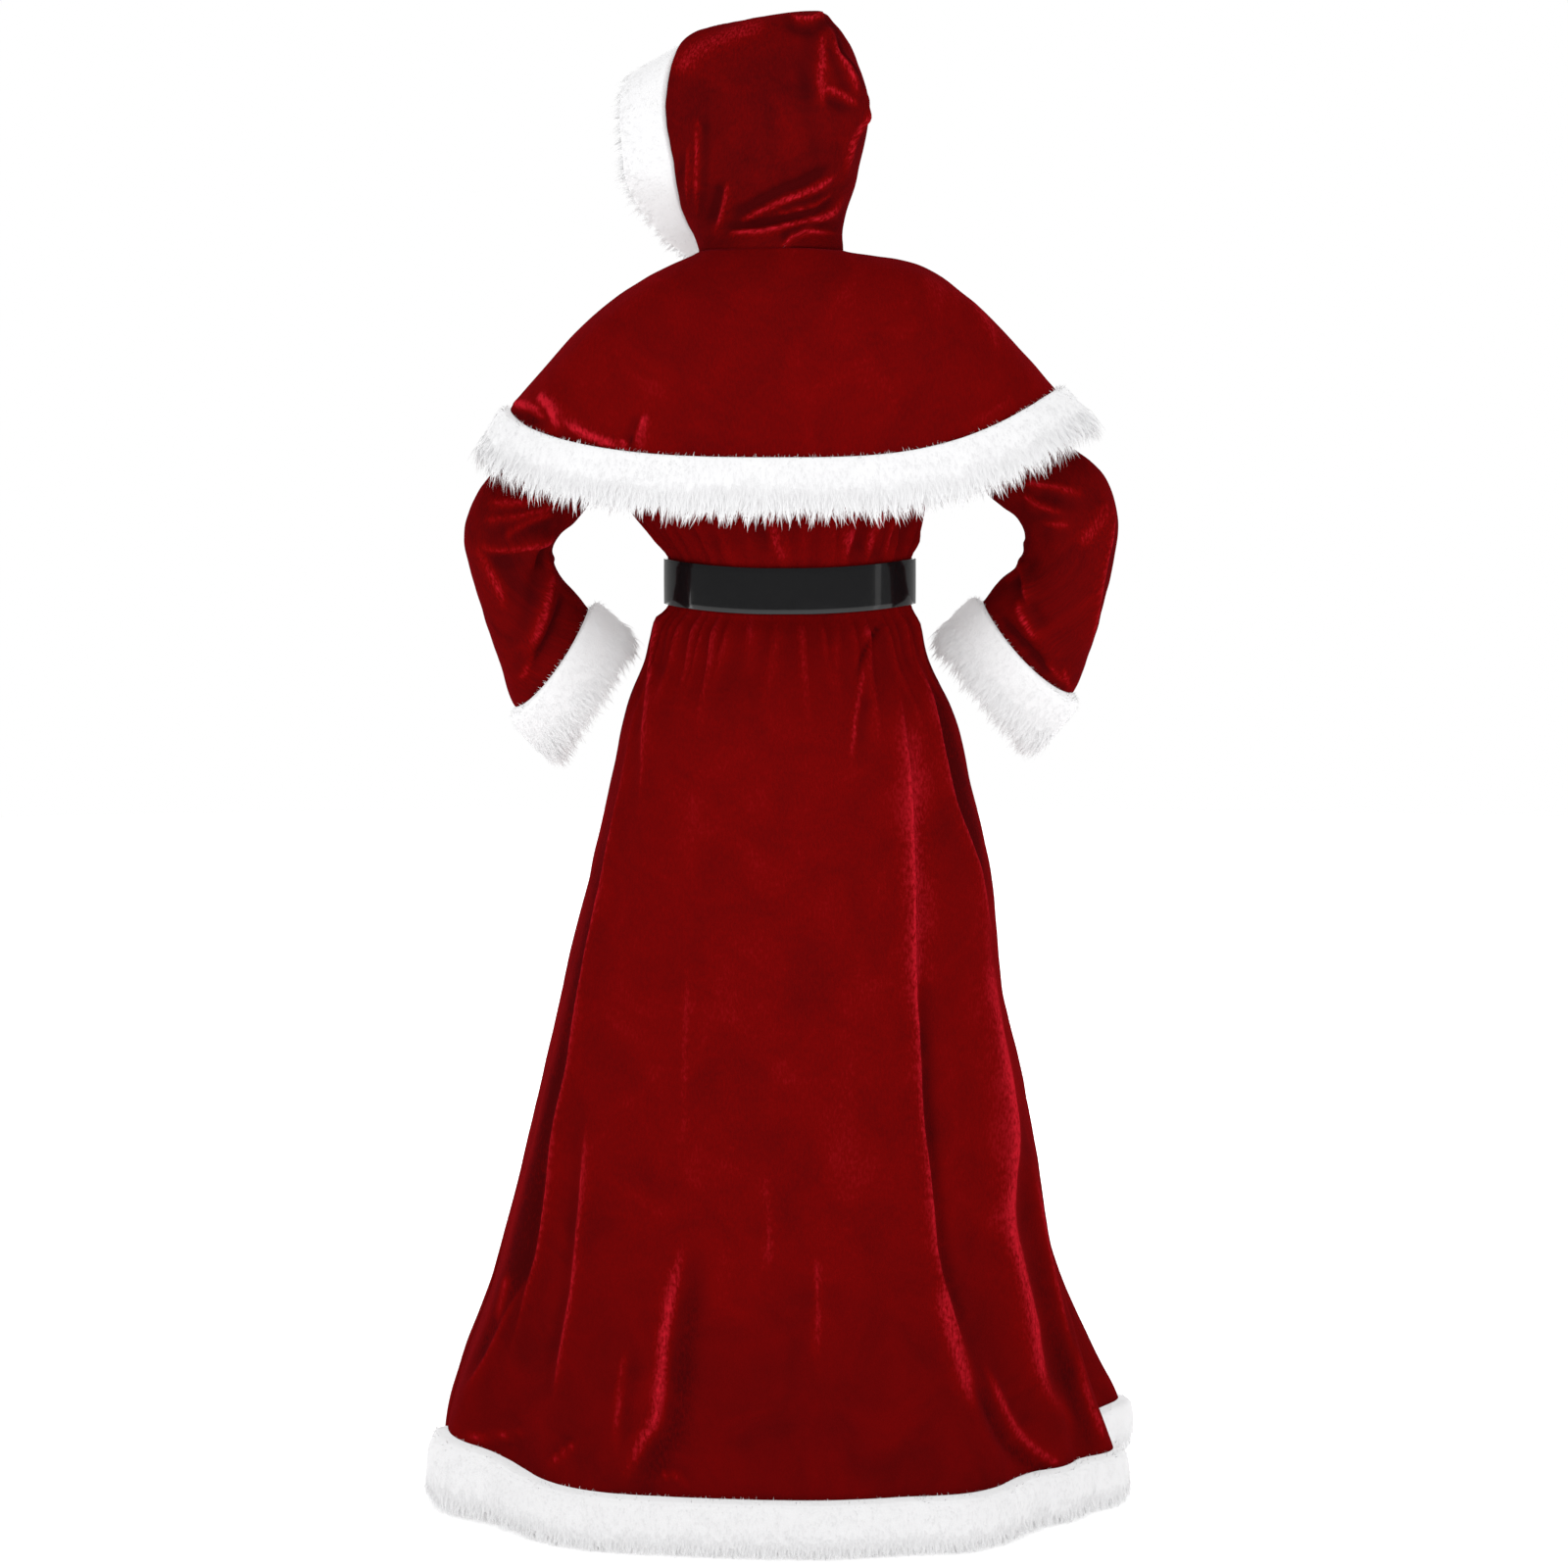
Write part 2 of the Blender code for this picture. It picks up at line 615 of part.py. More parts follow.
def hood_point(side, rise, around):
    """A point of the hood; around is 0 at the back seam and 1 at the face edge."""
    cut = read(HOOD, rise)
    dome = math.sqrt(max(1.0 - rise ** 4, 0.0))
    half = cut.half * dome
    middle = mix(cut.back, cut.face, HOOD_SIDE_TURN)
    if around < HOOD_SIDE_TURN:
        turn = math.radians(90.0 * around / HOOD_SIDE_TURN)
        forward = mix(cut.back, middle, 1.0 - math.cos(turn))
        aside = half * math.sin(turn) ** 1.1
    else:
        part = (around - HOOD_SIDE_TURN) / (1.0 - HOOD_SIDE_TURN)
        forward = mix(middle, cut.face, math.sin(part * math.pi / 2))
        aside = half * (1.0 - cut.pinch * part * part)
    aside = (aside + HOOD_SEAM / 2) * side
    crown = HOOD_CROWN * rise ** 3 * math.sin(math.pi * around)
    z = mix(cut.back_z, cut.face_z, around) + crown
    turn = math.radians(cut.turn)
    x = forward * math.sin(turn) + aside * math.cos(turn)
    y = -forward * math.cos(turn) + aside * math.sin(turn)
    return HOOD_CENTRE + Vector((x, y, z))


def add_hood(velvet, fur):
    """Two halves joined over the crown, and the fur strip round the face opening."""
    for name, side in (("hood_left", 1.0), ("hood_right", -1.0)):
        rows = []
        order = HOOD_AROUNDS if side < 0 else HOOD_AROUNDS[::-1]
        for rise in HOOD_RISES:
            rows.append([hood_point(side, rise, around) for around in order])
        add_cloth(name, rows, velvet)

    def edge(stop):
        side = 1.0 if stop < 0 else -1.0
        return hood_point(side, 1.0 - abs(stop) ** 1.25, 1.0)

    def place(stop, along, out):
        ahead = edge(min(stop + 0.03, 1.0))
        behind = edge(max(stop - 0.03, -1.0))
        tangent = (ahead - behind).normalized()
        turn = math.radians(mix(20.0, 55.0, ease((1.0 - abs(stop)) * 3.0)))
        drop = HOOD_FUR_DROP * (1.0 - abs(stop)) ** 1.5
        forward = Vector((math.sin(turn), -math.cos(turn), 0.10 - drop)).normalized()
        forward = (forward - tangent * forward.dot(tangent) * 0.6).normalized()
        away = forward.cross(tangent).normalized()
        return edge(stop) + forward * along + away * out

    ends = (-HOOD_FUR_END, HOOD_FUR_END)
    stops = [mix(*ends, index / HOOD_FUR_COLUMNS) for index in range(HOOD_FUR_COLUMNS + 1)]
    add_fur("hood_fur", place, stops, HOOD_FUR, HOOD_PILE, fur, start=HOOD_FUR_START)


def add_belt(patent, metal, cutters):
    """A strap that laps over itself behind its buckle."""
    clear = CLOTH / 2 + GATHER_UNDER_BELT + BELT_EASE + BELT_WALL / 2
    lap = BELT_WALL + 2 * SEAM
    start = 270.0 - BELT_TAIL_ANGLE / 2
    total = 360.0 + BELT_TAIL_ANGLE
    rows = []
    for height in (-0.5, 0.5):
        row = []
        for index in range(BELT_COLUMNS + 1):
            gone = total * index / BELT_COLUMNS
            over = ease((gone - 360.0 + BELT_RISE_ANGLE) / BELT_RISE_ANGLE)
            z = WAIST_Z + height * BELT_WIDTH
            point = ring_point(BODICE, start + gone, WAIST_Z, clear + lap * over)
            row.append(Vector((point.x, point.y, z)))
        rows.append(row)
    add_cloth("belt_strap", rows, patent, wall=BELT_WALL)

    front = ring_point(BODICE, 270.0, WAIST_Z, clear + lap + BELT_WALL / 2)
    frame_y = front.y - BUCKLE_STANDOFF - BUCKLE_ROD / 2
    size = (BUCKLE_WIDTH, BUCKLE_ROD, BUCKLE_HEIGHT)
    frame = add_block("belt_buckle_frame", size, metal)
    frame.location = (front.x, frame_y, WAIST_Z)
    size = (BUCKLE_WIDTH - 2 * BUCKLE_ROD, 3 * BUCKLE_ROD, BUCKLE_HEIGHT - 2 * BUCKLE_ROD)
    window = add_block("buckle_window", size, metal, cutters)
    window.location = frame.location
    window.hide_render = True
    window.display_type = "WIRE"
    opening = frame.modifiers.new("window", "BOOLEAN")
    opening.operation = "DIFFERENCE"
    opening.object = window
    size = (BUCKLE_WIDTH, PRONG_WALL, PRONG_HEIGHT)
    prong = add_block("belt_buckle_prong", size, metal)
    prong.location = (front.x, frame_y - (BUCKLE_ROD + PRONG_WALL) / 2 - SEAM, WAIST_Z)
    for piece in (frame, prong):
        bevel = piece.modifiers.new("rounded edges", "BEVEL")
        bevel.width = BUCKLE_EDGE
        bevel.segments = 2


def add_clasp(metal):
    """The flat hook and eye that hold the cape's fronts at the neck, fastened."""
    at = cape_point(270.0, CLASP_DOWN)
    away = normal_at(cape_upwards, 270.0, -CLASP_DOWN, 0.02)
    clasp = add_block("cape_neck_clasp", (CLASP_WIDTH, CLASP_HEIGHT, CLASP_WALL), metal)
    clasp.rotation_euler = away.to_track_quat("Z", "Y").to_euler()
    clasp.location = at + away * (CLOTH / 2 + 2 * SEAM + CLASP_WALL / 2)


def main():
    clear_scene()
    new_collection(GARMENT)
    cutters = new_collection("cutters")
    hold = bpy.data.objects.new(GARMENT + "_wearer_hold", None)
    bpy.data.collections[GARMENT].objects.link(hold)
    velvet = new_material("red velvet", *VELVET)
    fur = new_material("white faux fur", *FUR)
    patent = new_material("black patent belt", *PATENT)
    metal = new_material("plain metal", *METAL)
    add_skirt(velvet)
    add_hem_fur(fur)
    add_bodice(velvet)
    add_sleeves(velvet, fur)
    add_cape(velvet, fur)
    add_hood(velvet, fur)
    add_belt(patent, metal, cutters)
    add_clasp(metal)


main()
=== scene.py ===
# %% [markdown]
# This lesson dresses a plain solid model as a long velvet costume dress with a hooded cape, seen
# from behind. The solids hold the sizes, which were estimated from the photograph. Here each
# cloth part becomes a thin shell with its creases, each fur trim a plump band with locks on it,
# and each surface gets its own finish.
# The frame is loaded first, because every piece is placed by it.

# %% Load the frame
import math
from collections import namedtuple

import bpy
import numpy as np
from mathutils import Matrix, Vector


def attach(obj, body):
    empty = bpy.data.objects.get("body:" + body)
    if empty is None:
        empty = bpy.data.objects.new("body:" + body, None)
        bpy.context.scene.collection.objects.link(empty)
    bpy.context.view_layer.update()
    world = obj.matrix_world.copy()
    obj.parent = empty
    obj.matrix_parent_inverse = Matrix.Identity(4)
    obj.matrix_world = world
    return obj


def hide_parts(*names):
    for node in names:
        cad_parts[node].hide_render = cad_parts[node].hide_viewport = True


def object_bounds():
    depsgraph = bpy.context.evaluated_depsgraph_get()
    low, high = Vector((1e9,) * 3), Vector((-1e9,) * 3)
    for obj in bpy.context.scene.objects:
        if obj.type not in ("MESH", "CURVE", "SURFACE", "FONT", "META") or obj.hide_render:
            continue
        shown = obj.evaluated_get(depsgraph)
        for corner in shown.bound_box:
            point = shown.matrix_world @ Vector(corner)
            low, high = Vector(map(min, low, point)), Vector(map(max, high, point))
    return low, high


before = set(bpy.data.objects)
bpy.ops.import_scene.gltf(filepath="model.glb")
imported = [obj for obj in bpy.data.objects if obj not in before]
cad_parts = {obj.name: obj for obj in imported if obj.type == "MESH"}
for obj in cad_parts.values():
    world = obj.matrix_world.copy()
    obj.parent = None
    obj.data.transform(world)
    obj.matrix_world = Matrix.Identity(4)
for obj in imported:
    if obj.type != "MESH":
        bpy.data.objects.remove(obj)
cad_low, cad_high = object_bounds()
print("frame:", len(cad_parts), "nodes, size", [round(v, 3) for v in cad_high - cad_low])

# %% [markdown]
# The camera comes first. It stands behind the dress, a little above the waist, with a long lens.
# Its distance of 4.4 m is an estimate. The lens follows from that and from how many pixels of
# the photograph a metre takes at the dress.

# %% Camera
PHOTO_WIDTH_PIXELS = 1600
PIXELS_PER_METRE = 919
CAMERA_BACK = 4.4
CAMERA_Z = -0.20
AIM_Z = -0.54
SENSOR = 36.0

drop = CAMERA_Z - AIM_Z
camera_data = bpy.data.cameras.new("photo_camera")
camera_data.sensor_width = SENSOR
camera_data.lens = SENSOR * PIXELS_PER_METRE * math.hypot(CAMERA_BACK, drop) / PHOTO_WIDTH_PIXELS
camera = bpy.data.objects.new("photo_camera", camera_data)
camera.location = (0.0, CAMERA_BACK, CAMERA_Z)
camera.rotation_euler = (math.pi / 2 - math.atan2(drop, CAMERA_BACK), 0.0, math.pi)
bpy.context.collection.objects.link(camera)
bpy.context.scene.camera = camera
print("lens", round(camera_data.lens, 1), "mm")

# %% [markdown]
# Every material is built from nodes. These helpers start a material and make a node with its
# values and its links in one go, so that each one below reads as a short list of what it sets.

# %% Node helpers
def set_inputs(node, values):
    for name, value in values.items():
        node.inputs[name].default_value = value


def add_node(tree, kind, values, sources):
    """A node with some inputs set to values and others linked to sources."""
    node = tree.nodes.new(kind)
    set_inputs(node, values)
    for name, source in sources.items():
        tree.links.new(source, node.inputs[name])
    return node


def new_material(name):
    """A material, its node tree and its surface shader."""
    material = bpy.data.materials.new(name)
    material.use_nodes = True
    return material, material.node_tree, material.node_tree.nodes["Principled BSDF"]


def add_bump(tree, surface, height, strength, distance):
    bump = add_node(tree, "ShaderNodeBump", {"Strength": strength, "Distance": distance}, {"Height": height})
    tree.links.new(bump.outputs["Normal"], surface.inputs["Normal"])


print("node helpers ready")

# %% [markdown]
# The studio has a white floor and big soft lamps. Two stand beside the camera, one hangs above,
# narrow strips stand at the sides, and three light the front, which the camera doesn't see. The
# background is white to the camera, but it lights the dress less, and its gloss less again.

# %% Studio
FLOOR_Z = -1.3206
FLOOR_RADIUS = 9.0
AROUND = 0.70
AROUND_IN_SHINE = 0.34
FLOOR_NEAR = 0.7
FLOOR_FAR = 2.6
FLOOR_GLOW = 0.30
FLOOR_CORNERS = 96
WHITE = (1.0, 1.0, 1.0, 1.0)

Lamp = namedtuple("Lamp", "name place aim width height watts mirrored")
LAMPS = [
    Lamp("key softbox", (1.2, 4.2, 1.1), (0.0, 0.0, -0.50), 2.6, 2.6, 41.0, False),
    Lamp("fill softbox", (-1.6, 4.0, 0.3), (0.0, 0.0, -0.55), 2.6, 2.6, 28.0, False),
    Lamp("overhead softbox", (0.0, 0.9, 2.6), (0.0, 0.0, -0.80), 2.4, 2.4, 17.0, True),
    Lamp("left strip", (2.9, 0.1, -0.3), (0.0, 0.0, -0.35), 0.45, 1.8, 7.0, True),
    Lamp("right strip", (-2.7, 1.1, -0.4), (0.0, 0.0, -0.50), 0.35, 2.2, 2.5, True),
    Lamp("front left softbox", (2.7, -2.6, 0.2), (0.0, 0.0, -0.40), 0.6, 1.9, 34.0, False),
    Lamp("front right softbox", (-2.7, -2.3, 0.2), (0.0, 0.0, -0.40), 0.5, 1.9, 34.0, False),
    Lamp("front softbox", (0.2, -4.2, 1.1), (0.0, 0.0, -0.50), 2.2, 2.2, 47.0, True),
]


def add_lamp(lamp):
    data = bpy.data.lights.new(lamp.name, "AREA")
    data.shape = "RECTANGLE"
    data.size = lamp.width
    data.size_y = lamp.height
    data.energy = lamp.watts
    light = bpy.data.objects.new(lamp.name, data)
    light.location = lamp.place
    light.rotation_euler = (Vector(lamp.aim) - Vector(lamp.place)).to_track_quat("-Z", "Y").to_euler()
    light.visible_glossy = lamp.mirrored
    bpy.context.collection.objects.link(light)


def make_world():
    world = bpy.data.worlds.new("white studio")
    world.use_nodes = True
    tree = world.node_tree
    background = tree.nodes["Background"]
    seen = add_node(tree, "ShaderNodeLightPath", {}, {})
    shine = add_node(tree, "ShaderNodeMapRange", {"To Min": AROUND, "To Max": AROUND_IN_SHINE},
                     {"Value": seen.outputs["Is Glossy Ray"]})
    strength = add_node(tree, "ShaderNodeMapRange", {"To Max": 1.0},
                        {"Value": seen.outputs["Is Camera Ray"], "To Min": shine.outputs["Result"]})
    set_inputs(background, {"Color": WHITE})
    tree.links.new(strength.outputs["Result"], background.inputs["Strength"])
    return world


def make_floor_material():
    """Pale paint that glows more and more away from the dress, so that no horizon shows."""
    material, tree, surface = new_material("studio floor")
    set_inputs(surface, {"Base Color": (0.92, 0.92, 0.92, 1.0), "Roughness": 0.95,
                         "Specular IOR Level": 0.1, "Emission Strength": 1.0})
    places = add_node(tree, "ShaderNodeTexCoord", {}, {})
    reach = add_node(tree, "ShaderNodeVectorMath", {}, {0: places.outputs["Object"]})
    reach.operation = "LENGTH"
    away = add_node(
        tree, "ShaderNodeMapRange",
        {"From Min": FLOOR_NEAR, "From Max": FLOOR_FAR, "To Min": FLOOR_GLOW, "To Max": 1.0},
        {"Value": reach.outputs["Value"]})
    away.interpolation_type = "SMOOTHSTEP"
    tree.links.new(away.outputs["Result"], surface.inputs["Emission Color"])
    return material


for lamp in LAMPS:
    add_lamp(lamp)
bpy.context.scene.world = make_world()
bpy.ops.mesh.primitive_circle_add(
    vertices=FLOOR_CORNERS, radius=FLOOR_RADIUS, fill_type="NGON", location=(0, 0, FLOOR_Z))
floor = bpy.context.object
floor.name = "studio_floor"
floor.data.materials.append(make_floor_material())
bpy.context.scene.view_settings.view_transform = "Standard"
print("studio:", len(LAMPS), "softboxes")

# %% [markdown]
# Every cloth part is a grid of points. These small helpers read a table on a smooth curve, ease
# from 0 to 1, and find the outward directions of a grid, all on whole arrays at once. One more
# gives a point on a smooth curve between two points, which bends by their neighbours.

# %% Grid helpers
def ease(value):
    value = np.clip(value, 0.0, 1.0)
    return value * value * (3.0 - 2.0 * value)


def mix(first, second, part):
    return first + (second - first) * part


def rounded(value, power):
    return np.sign(value) * np.abs(value) ** power


def read(rows, at):
    """A table's columns at many values of its first column, on a smooth curve through its rows."""
    table = np.array(rows, dtype=float)
    count = len(table)
    at = np.clip(at, table[0, 0], table[-1, 0])
    upper = np.clip(np.searchsorted(table[:, 0], at), 1, count - 1)
    before = table[np.maximum(np.arange(count) - 1, 0)]
    after = table[np.minimum(np.arange(count) + 1, count - 1)]
    slopes = (after - before) / (after[:, :1] - before[:, :1])
    low, high = table[upper - 1], table[upper]
    span = (high - low)[..., :1]
    part = (np.asarray(at)[..., None] - low[..., :1]) / span
    values = low + (high - low) * part * part * (3.0 - 2.0 * part)
    values = values + slopes[upper - 1] * part * (1.0 - part) ** 2 * span
    values = values + slopes[upper] * part * part * (part - 1.0) * span
    return type(rows[0])(*np.moveaxis(values, -1, 0))


def unit(vectors):
    return vectors / np.maximum(np.linalg.norm(vectors, axis=-1, keepdims=True), 1e-9)


def outward(grid, closed=False):
    """The outward directions of a grid whose rows run round the dress."""
    if closed:
        wrapped = np.concatenate([grid[:, -1:], grid, grid[:, :1]], axis=1)
        around = wrapped[:, 2:] - wrapped[:, :-2]
    else:
        around = np.gradient(grid, axis=1)
    down = np.gradient(grid, axis=0)
    return unit(np.cross(down, around))


def ripple(points, size, seed, waves=7):
    """A smooth unevenness from -1 to 1, as a sum of waves in many directions."""
    random = np.random.default_rng(seed)
    total = np.zeros(points.shape[:-1])
    for _ in range(waves):
        direction = unit(random.normal(size=3)) * random.uniform(0.6, 1.5) * math.tau / size
        total += np.sin(points @ direction + random.uniform(0.0, math.tau))
    return total / waves ** 0.5 / 1.5


def between(before, start, stop, after, t):
    """A point on a smooth curve, from start at t 0 to stop at t 1."""
    return 0.5 * (2 * start + (stop - before) * t
                  + (2 * before - 5 * start + 4 * stop - after) * t * t
                  + (3 * start - before - 3 * stop + after) * t ** 3)


print("grid helpers ready")

# %% [markdown]
# A crease in worn cloth is a ridge with one steep side and a hollow beside it, and it tapers out
# at both ends. Each one is given as a short path in metres, as seen from one side of the
# dress. Its profile lifts the cloth, and the same profile is kept as painted fold light: a painted
# highlight along the ridge and painted shade in the hollow beside it, where the pile would catch
# the light or lose it.

# %% Creases
# A crease's shine sets its painted light: painted highlight along the ridge, painted shade in its hollow.
Crease = namedtuple("Crease", "name path width height steep shine", defaults=(1.0,))
SIDES = {
    "back": (0, np.array((0.0, 1.0, 0.0))),
    "front": (0, np.array((0.0, -1.0, 0.0))),
    "left": (1, np.array((1.0, 0.0, 0.0))),
    "right": (1, np.array((-1.0, 0.0, 0.0))),
}
PATH_STEPS = 8
TAPER = 0.28
RIDGE_WIDTH = 0.75
RIDGE_LEAN = 0.40
HOLLOW_AWAY = 1.75
HOLLOW_WIDTH = 1.05
HOLLOW_DEPTH = 0.75
SHINE_WIDTH = 0.34
SHINE_ON_LINE = 0.75
SHINE_ON_RIDGE = 0.30
SHADE_IN_HOLLOW = 0.55
SEEN_FULLY = 0.45


def curved_path(path):
    """More points on a smooth curve through a path's own points."""
    path = np.array(path)
    ends = np.concatenate([[2 * path[0] - path[1]], path, [2 * path[-1] - path[-2]]])
    points = []
    for index in range(1, len(ends) - 2):
        before, start, stop, after = ends[index - 1:index + 3]
        for step in range(PATH_STEPS):
            points.append(between(before, start, stop, after, step / PATH_STEPS))
    points.append(path[-1])
    return np.array(points)


def near_path(flat, path):
    """The signed distance of points to a path, and how far along it they are, from 0 to 1."""
    starts, steps = path[:-1], np.diff(path, axis=0)
    gone = flat[:, None] - starts[None]
    part = np.clip((gone * steps).sum(-1) / (steps ** 2).sum(-1), 0.0, 1.0)
    apart = gone - part[..., None] * steps
    distance = np.linalg.norm(apart, axis=-1)
    nearest = distance.argmin(axis=1)
    row = np.arange(len(flat))
    turn = steps[nearest, 0] * gone[row, nearest, 1] - steps[nearest, 1] * gone[row, nearest, 0]
    along = (nearest + part[row, nearest]) / len(steps)
    return distance[row, nearest] * np.where(turn >= 0, 1.0, -1.0), along


def crease_profile(offset, steep):
    """A rounded ridge with a hollow beside its steep side, and its painted light: painted highlight along it,
    painted shade in the hollow.
    """
    ridge = np.exp(-(offset / (RIDGE_WIDTH - RIDGE_LEAN * steep * np.sign(offset))) ** 2)
    hollow = abs(steep) * np.exp(-((offset - HOLLOW_AWAY * np.sign(steep)) / HOLLOW_WIDTH) ** 2)
    line = np.exp(-((offset - 0.1 * steep) / SHINE_WIDTH) ** 2)
    shine = SHINE_ON_LINE * line + SHINE_ON_RIDGE * ridge - SHADE_IN_HOLLOW * hollow
    return ridge - HOLLOW_DEPTH * hollow, shine


def crease_cloth(grid, facing, creases, side):
    """Height and painted fold light that a side's creases give to each point of a grid."""
    axis, look = SIDES[side]
    flat = grid[..., (axis, 2)].reshape(-1, 2)
    seen_share = ease((facing @ look).reshape(-1) / SEEN_FULLY)
    height = np.zeros(len(flat))
    nap = np.zeros(len(flat))
    for crease in creases:
        distance, along = near_path(flat, curved_path(crease.path))
        taper = ease(along / TAPER) * ease((1.0 - along) / TAPER)
        profile, shine = crease_profile(distance / crease.width, crease.steep)
        height += crease.height * profile * taper * seen_share
        nap += crease.shine * np.sign(crease.height) * shine * taper * seen_share
    return height.reshape(grid.shape[:2]), nap.reshape(grid.shape[:2])


print("crease tools ready")

# %% [markdown]
# A cloth part is made from its grid of points. It also carries a UV map in metres, measured out
# from the part's own centre line and down from its top, as the grain of a cut panel runs, so
# that the velvet's fine streaks hang straight down. A Solidify modifier gives the wall.

# %% Cloth maker
CLOTH_WALL = 0.0018
GRAIN_MAP = "grain"
# The painted fold light of a cloth part: painted highlight on crease ridges and gathers, painted shade in
# their hollows and towards the skirt's hem.
PAINTED_FOLD_LIGHT = "nap"


def grain_coordinates(grid, closed):
    """Metres across from the middle column and down from the first row."""
    if closed:
        grid = np.concatenate([grid, grid[:, :1]], axis=1)
    across = np.linalg.norm(np.diff(grid, axis=1), axis=-1)
    across = np.concatenate([np.zeros((len(grid), 1)), np.cumsum(across, axis=1)], axis=1)
    across = across - across[:, across.shape[1] // 2][:, None]
    down = np.linalg.norm(np.diff(grid, axis=0), axis=-1)
    down = np.concatenate([np.zeros((1, grid.shape[1])), np.cumsum(down, axis=0)], axis=0)
    return np.stack([across, down], axis=-1)


def grid_faces(rows, columns, closed):
    """Corner numbers of a grid's faces, and the row and column of each corner."""
    across = columns if closed else columns - 1
    row, column = np.meshgrid(np.arange(rows - 1), np.arange(across), indexing="ij")
    row, column = row.ravel(), column.ravel()
    corner_rows = np.stack([row, row + 1, row + 1, row], axis=-1)
    corner_columns = np.stack([column, column, column + 1, column + 1], axis=-1)
    return corner_rows * columns + corner_columns % columns, corner_rows, corner_columns


def new_grid_object(name, grid, closed):
    faces, corner_rows, corner_columns = grid_faces(grid.shape[0], grid.shape[1], closed)
    mesh = bpy.data.meshes.new(name)
    mesh.from_pydata(grid.reshape(-1, 3).tolist(), [], faces.tolist())
    layer = mesh.uv_layers.new(name=GRAIN_MAP)
    places = grain_coordinates(grid, closed)[corner_rows, corner_columns]
    layer.data.foreach_set("uv", places.reshape(-1).astype(np.float32))
    mesh.shade_smooth()
    piece = bpy.data.objects.new(name, mesh)
    bpy.context.collection.objects.link(piece)
    return piece


def add_cloth(name, grid, nap, material, closed=False, wall=CLOTH_WALL):
    piece = new_grid_object(name, grid, closed)
    layer = piece.data.attributes.new(PAINTED_FOLD_LIGHT, "FLOAT", "POINT")
    layer.data.foreach_set("value", nap.reshape(-1).astype(np.float32))
    piece.data.materials.append(material)
    solidify = piece.modifiers.new("wall", "SOLIDIFY")
    solidify.thickness = wall
    solidify.offset = 0.0
    print(name, len(piece.data.polygons), "faces, cloth", cloth_area(grid, closed), "square metres")
    return piece


def cloth_area(grid, closed):
    if closed:
        grid = np.concatenate([grid, grid[:, :1]], axis=1)
    across = grid[:-1, 1:] - grid[:-1, :-1]
    down = grid[1:, :-1] - grid[:-1, :-1]
    return round(float(np.linalg.norm(np.cross(across, down), axis=-1).sum()), 3)


# %% [markdown]
# Velvet is a short upright pile. Where it leans it turns paler or darker, in soft clouds a few
# centimetres across, and its fine rows show as faint streaks down the grain. One group of nodes
# makes both from the UV map, so that all the red parts share it, each with its own values.

# %% Velvet pile group
CLOUD_NOISE = {"Detail": 5.0, "Roughness": 0.62, "Distortion": 0.6}
STREAK_NOISE = {"Detail": 4.0, "Roughness": 0.65}
STREAK_STRETCH = (1.0, 0.38, 1.0)
STREAK_SPREAD = {"From Min": 0.36, "From Max": 0.64}
PILE_INPUTS = {"Cloud Scale": 16.0, "Streak Scale": 400.0, "Seed": 0.0}


def make_pile_group():
    group = bpy.data.node_groups.new("velvet pile", "ShaderNodeTree")
    group.interface.new_socket("Vector", in_out="INPUT", socket_type="NodeSocketVector")
    for name, default in PILE_INPUTS.items():
        socket = group.interface.new_socket(name, in_out="INPUT", socket_type="NodeSocketFloat")
        socket.default_value = default
    group.interface.new_socket("Cloud", in_out="OUTPUT", socket_type="NodeSocketFloat")
    group.interface.new_socket("Streak", in_out="OUTPUT", socket_type="NodeSocketFloat")
    given = add_node(group, "NodeGroupInput", {}, {}).outputs
    shift = add_node(group, "ShaderNodeVectorMath", {}, {0: given["Vector"], 1: given["Seed"]})
    shift.operation = "ADD"
    stretch = add_node(group, "ShaderNodeVectorMath", {1: STREAK_STRETCH}, {0: shift.outputs[0]})
    stretch.operation = "MULTIPLY"
    clouds = add_node(group, "ShaderNodeTexNoise", CLOUD_NOISE,
                      {"Vector": shift.outputs[0], "Scale": given["Cloud Scale"]})
    streaks = add_node(group, "ShaderNodeTexNoise", STREAK_NOISE,
                       {"Vector": stretch.outputs[0], "Scale": given["Streak Scale"]})
    spread = add_node(group, "ShaderNodeMapRange", STREAK_SPREAD, {"Value": streaks.outputs["Fac"]})
    add_node(group, "NodeGroupOutput", {},
             {"Cloud": clouds.outputs["Fac"], "Streak": spread.outputs["Result"]})
    return group


pile_group = make_pile_group()
print("group:", pile_group.name)

# %% [markdown]
# The velvet's own material mixes three reds: the depth of the pile, which is also its painted
# shade, its body, and the bright red where it lies over, which is also its painted highlight.
# The cloud and the streaks choose between them as the pile's own tone, and the painted fold light
# kept along the folds does so as painted highlight and painted shade. Each part's velvet also has
# its own level, lighter or darker from part to part as painted light and shade.
# Its weak sheen is red rather than white, because light comes back through dyed fibres.

# %% Velvet
PILE_DEEP_AND_SHADE = (0.050, 0.0016, 0.0020)
PILE_BODY = (0.136, 0.0017, 0.0017)
PILE_BRIGHT_AND_HIGHLIGHT = (0.40, 0.0085, 0.017)
VELVET_SHINE = (0.90, 0.05, 0.09)
DEEP_AND_SHADE_AT, BODY_AT, BRIGHT_AND_HIGHLIGHT_AT = 0.26, 0.50, 0.84
# How much of the painted fold light shows, partly broken up by the streaks.
FOLD_LIGHT_SHARE = 0.09
FOLD_LIGHT_ON_STREAKS = 0.24
CLOUD_SHARE = 0.31
STREAK_SHARE = 0.07


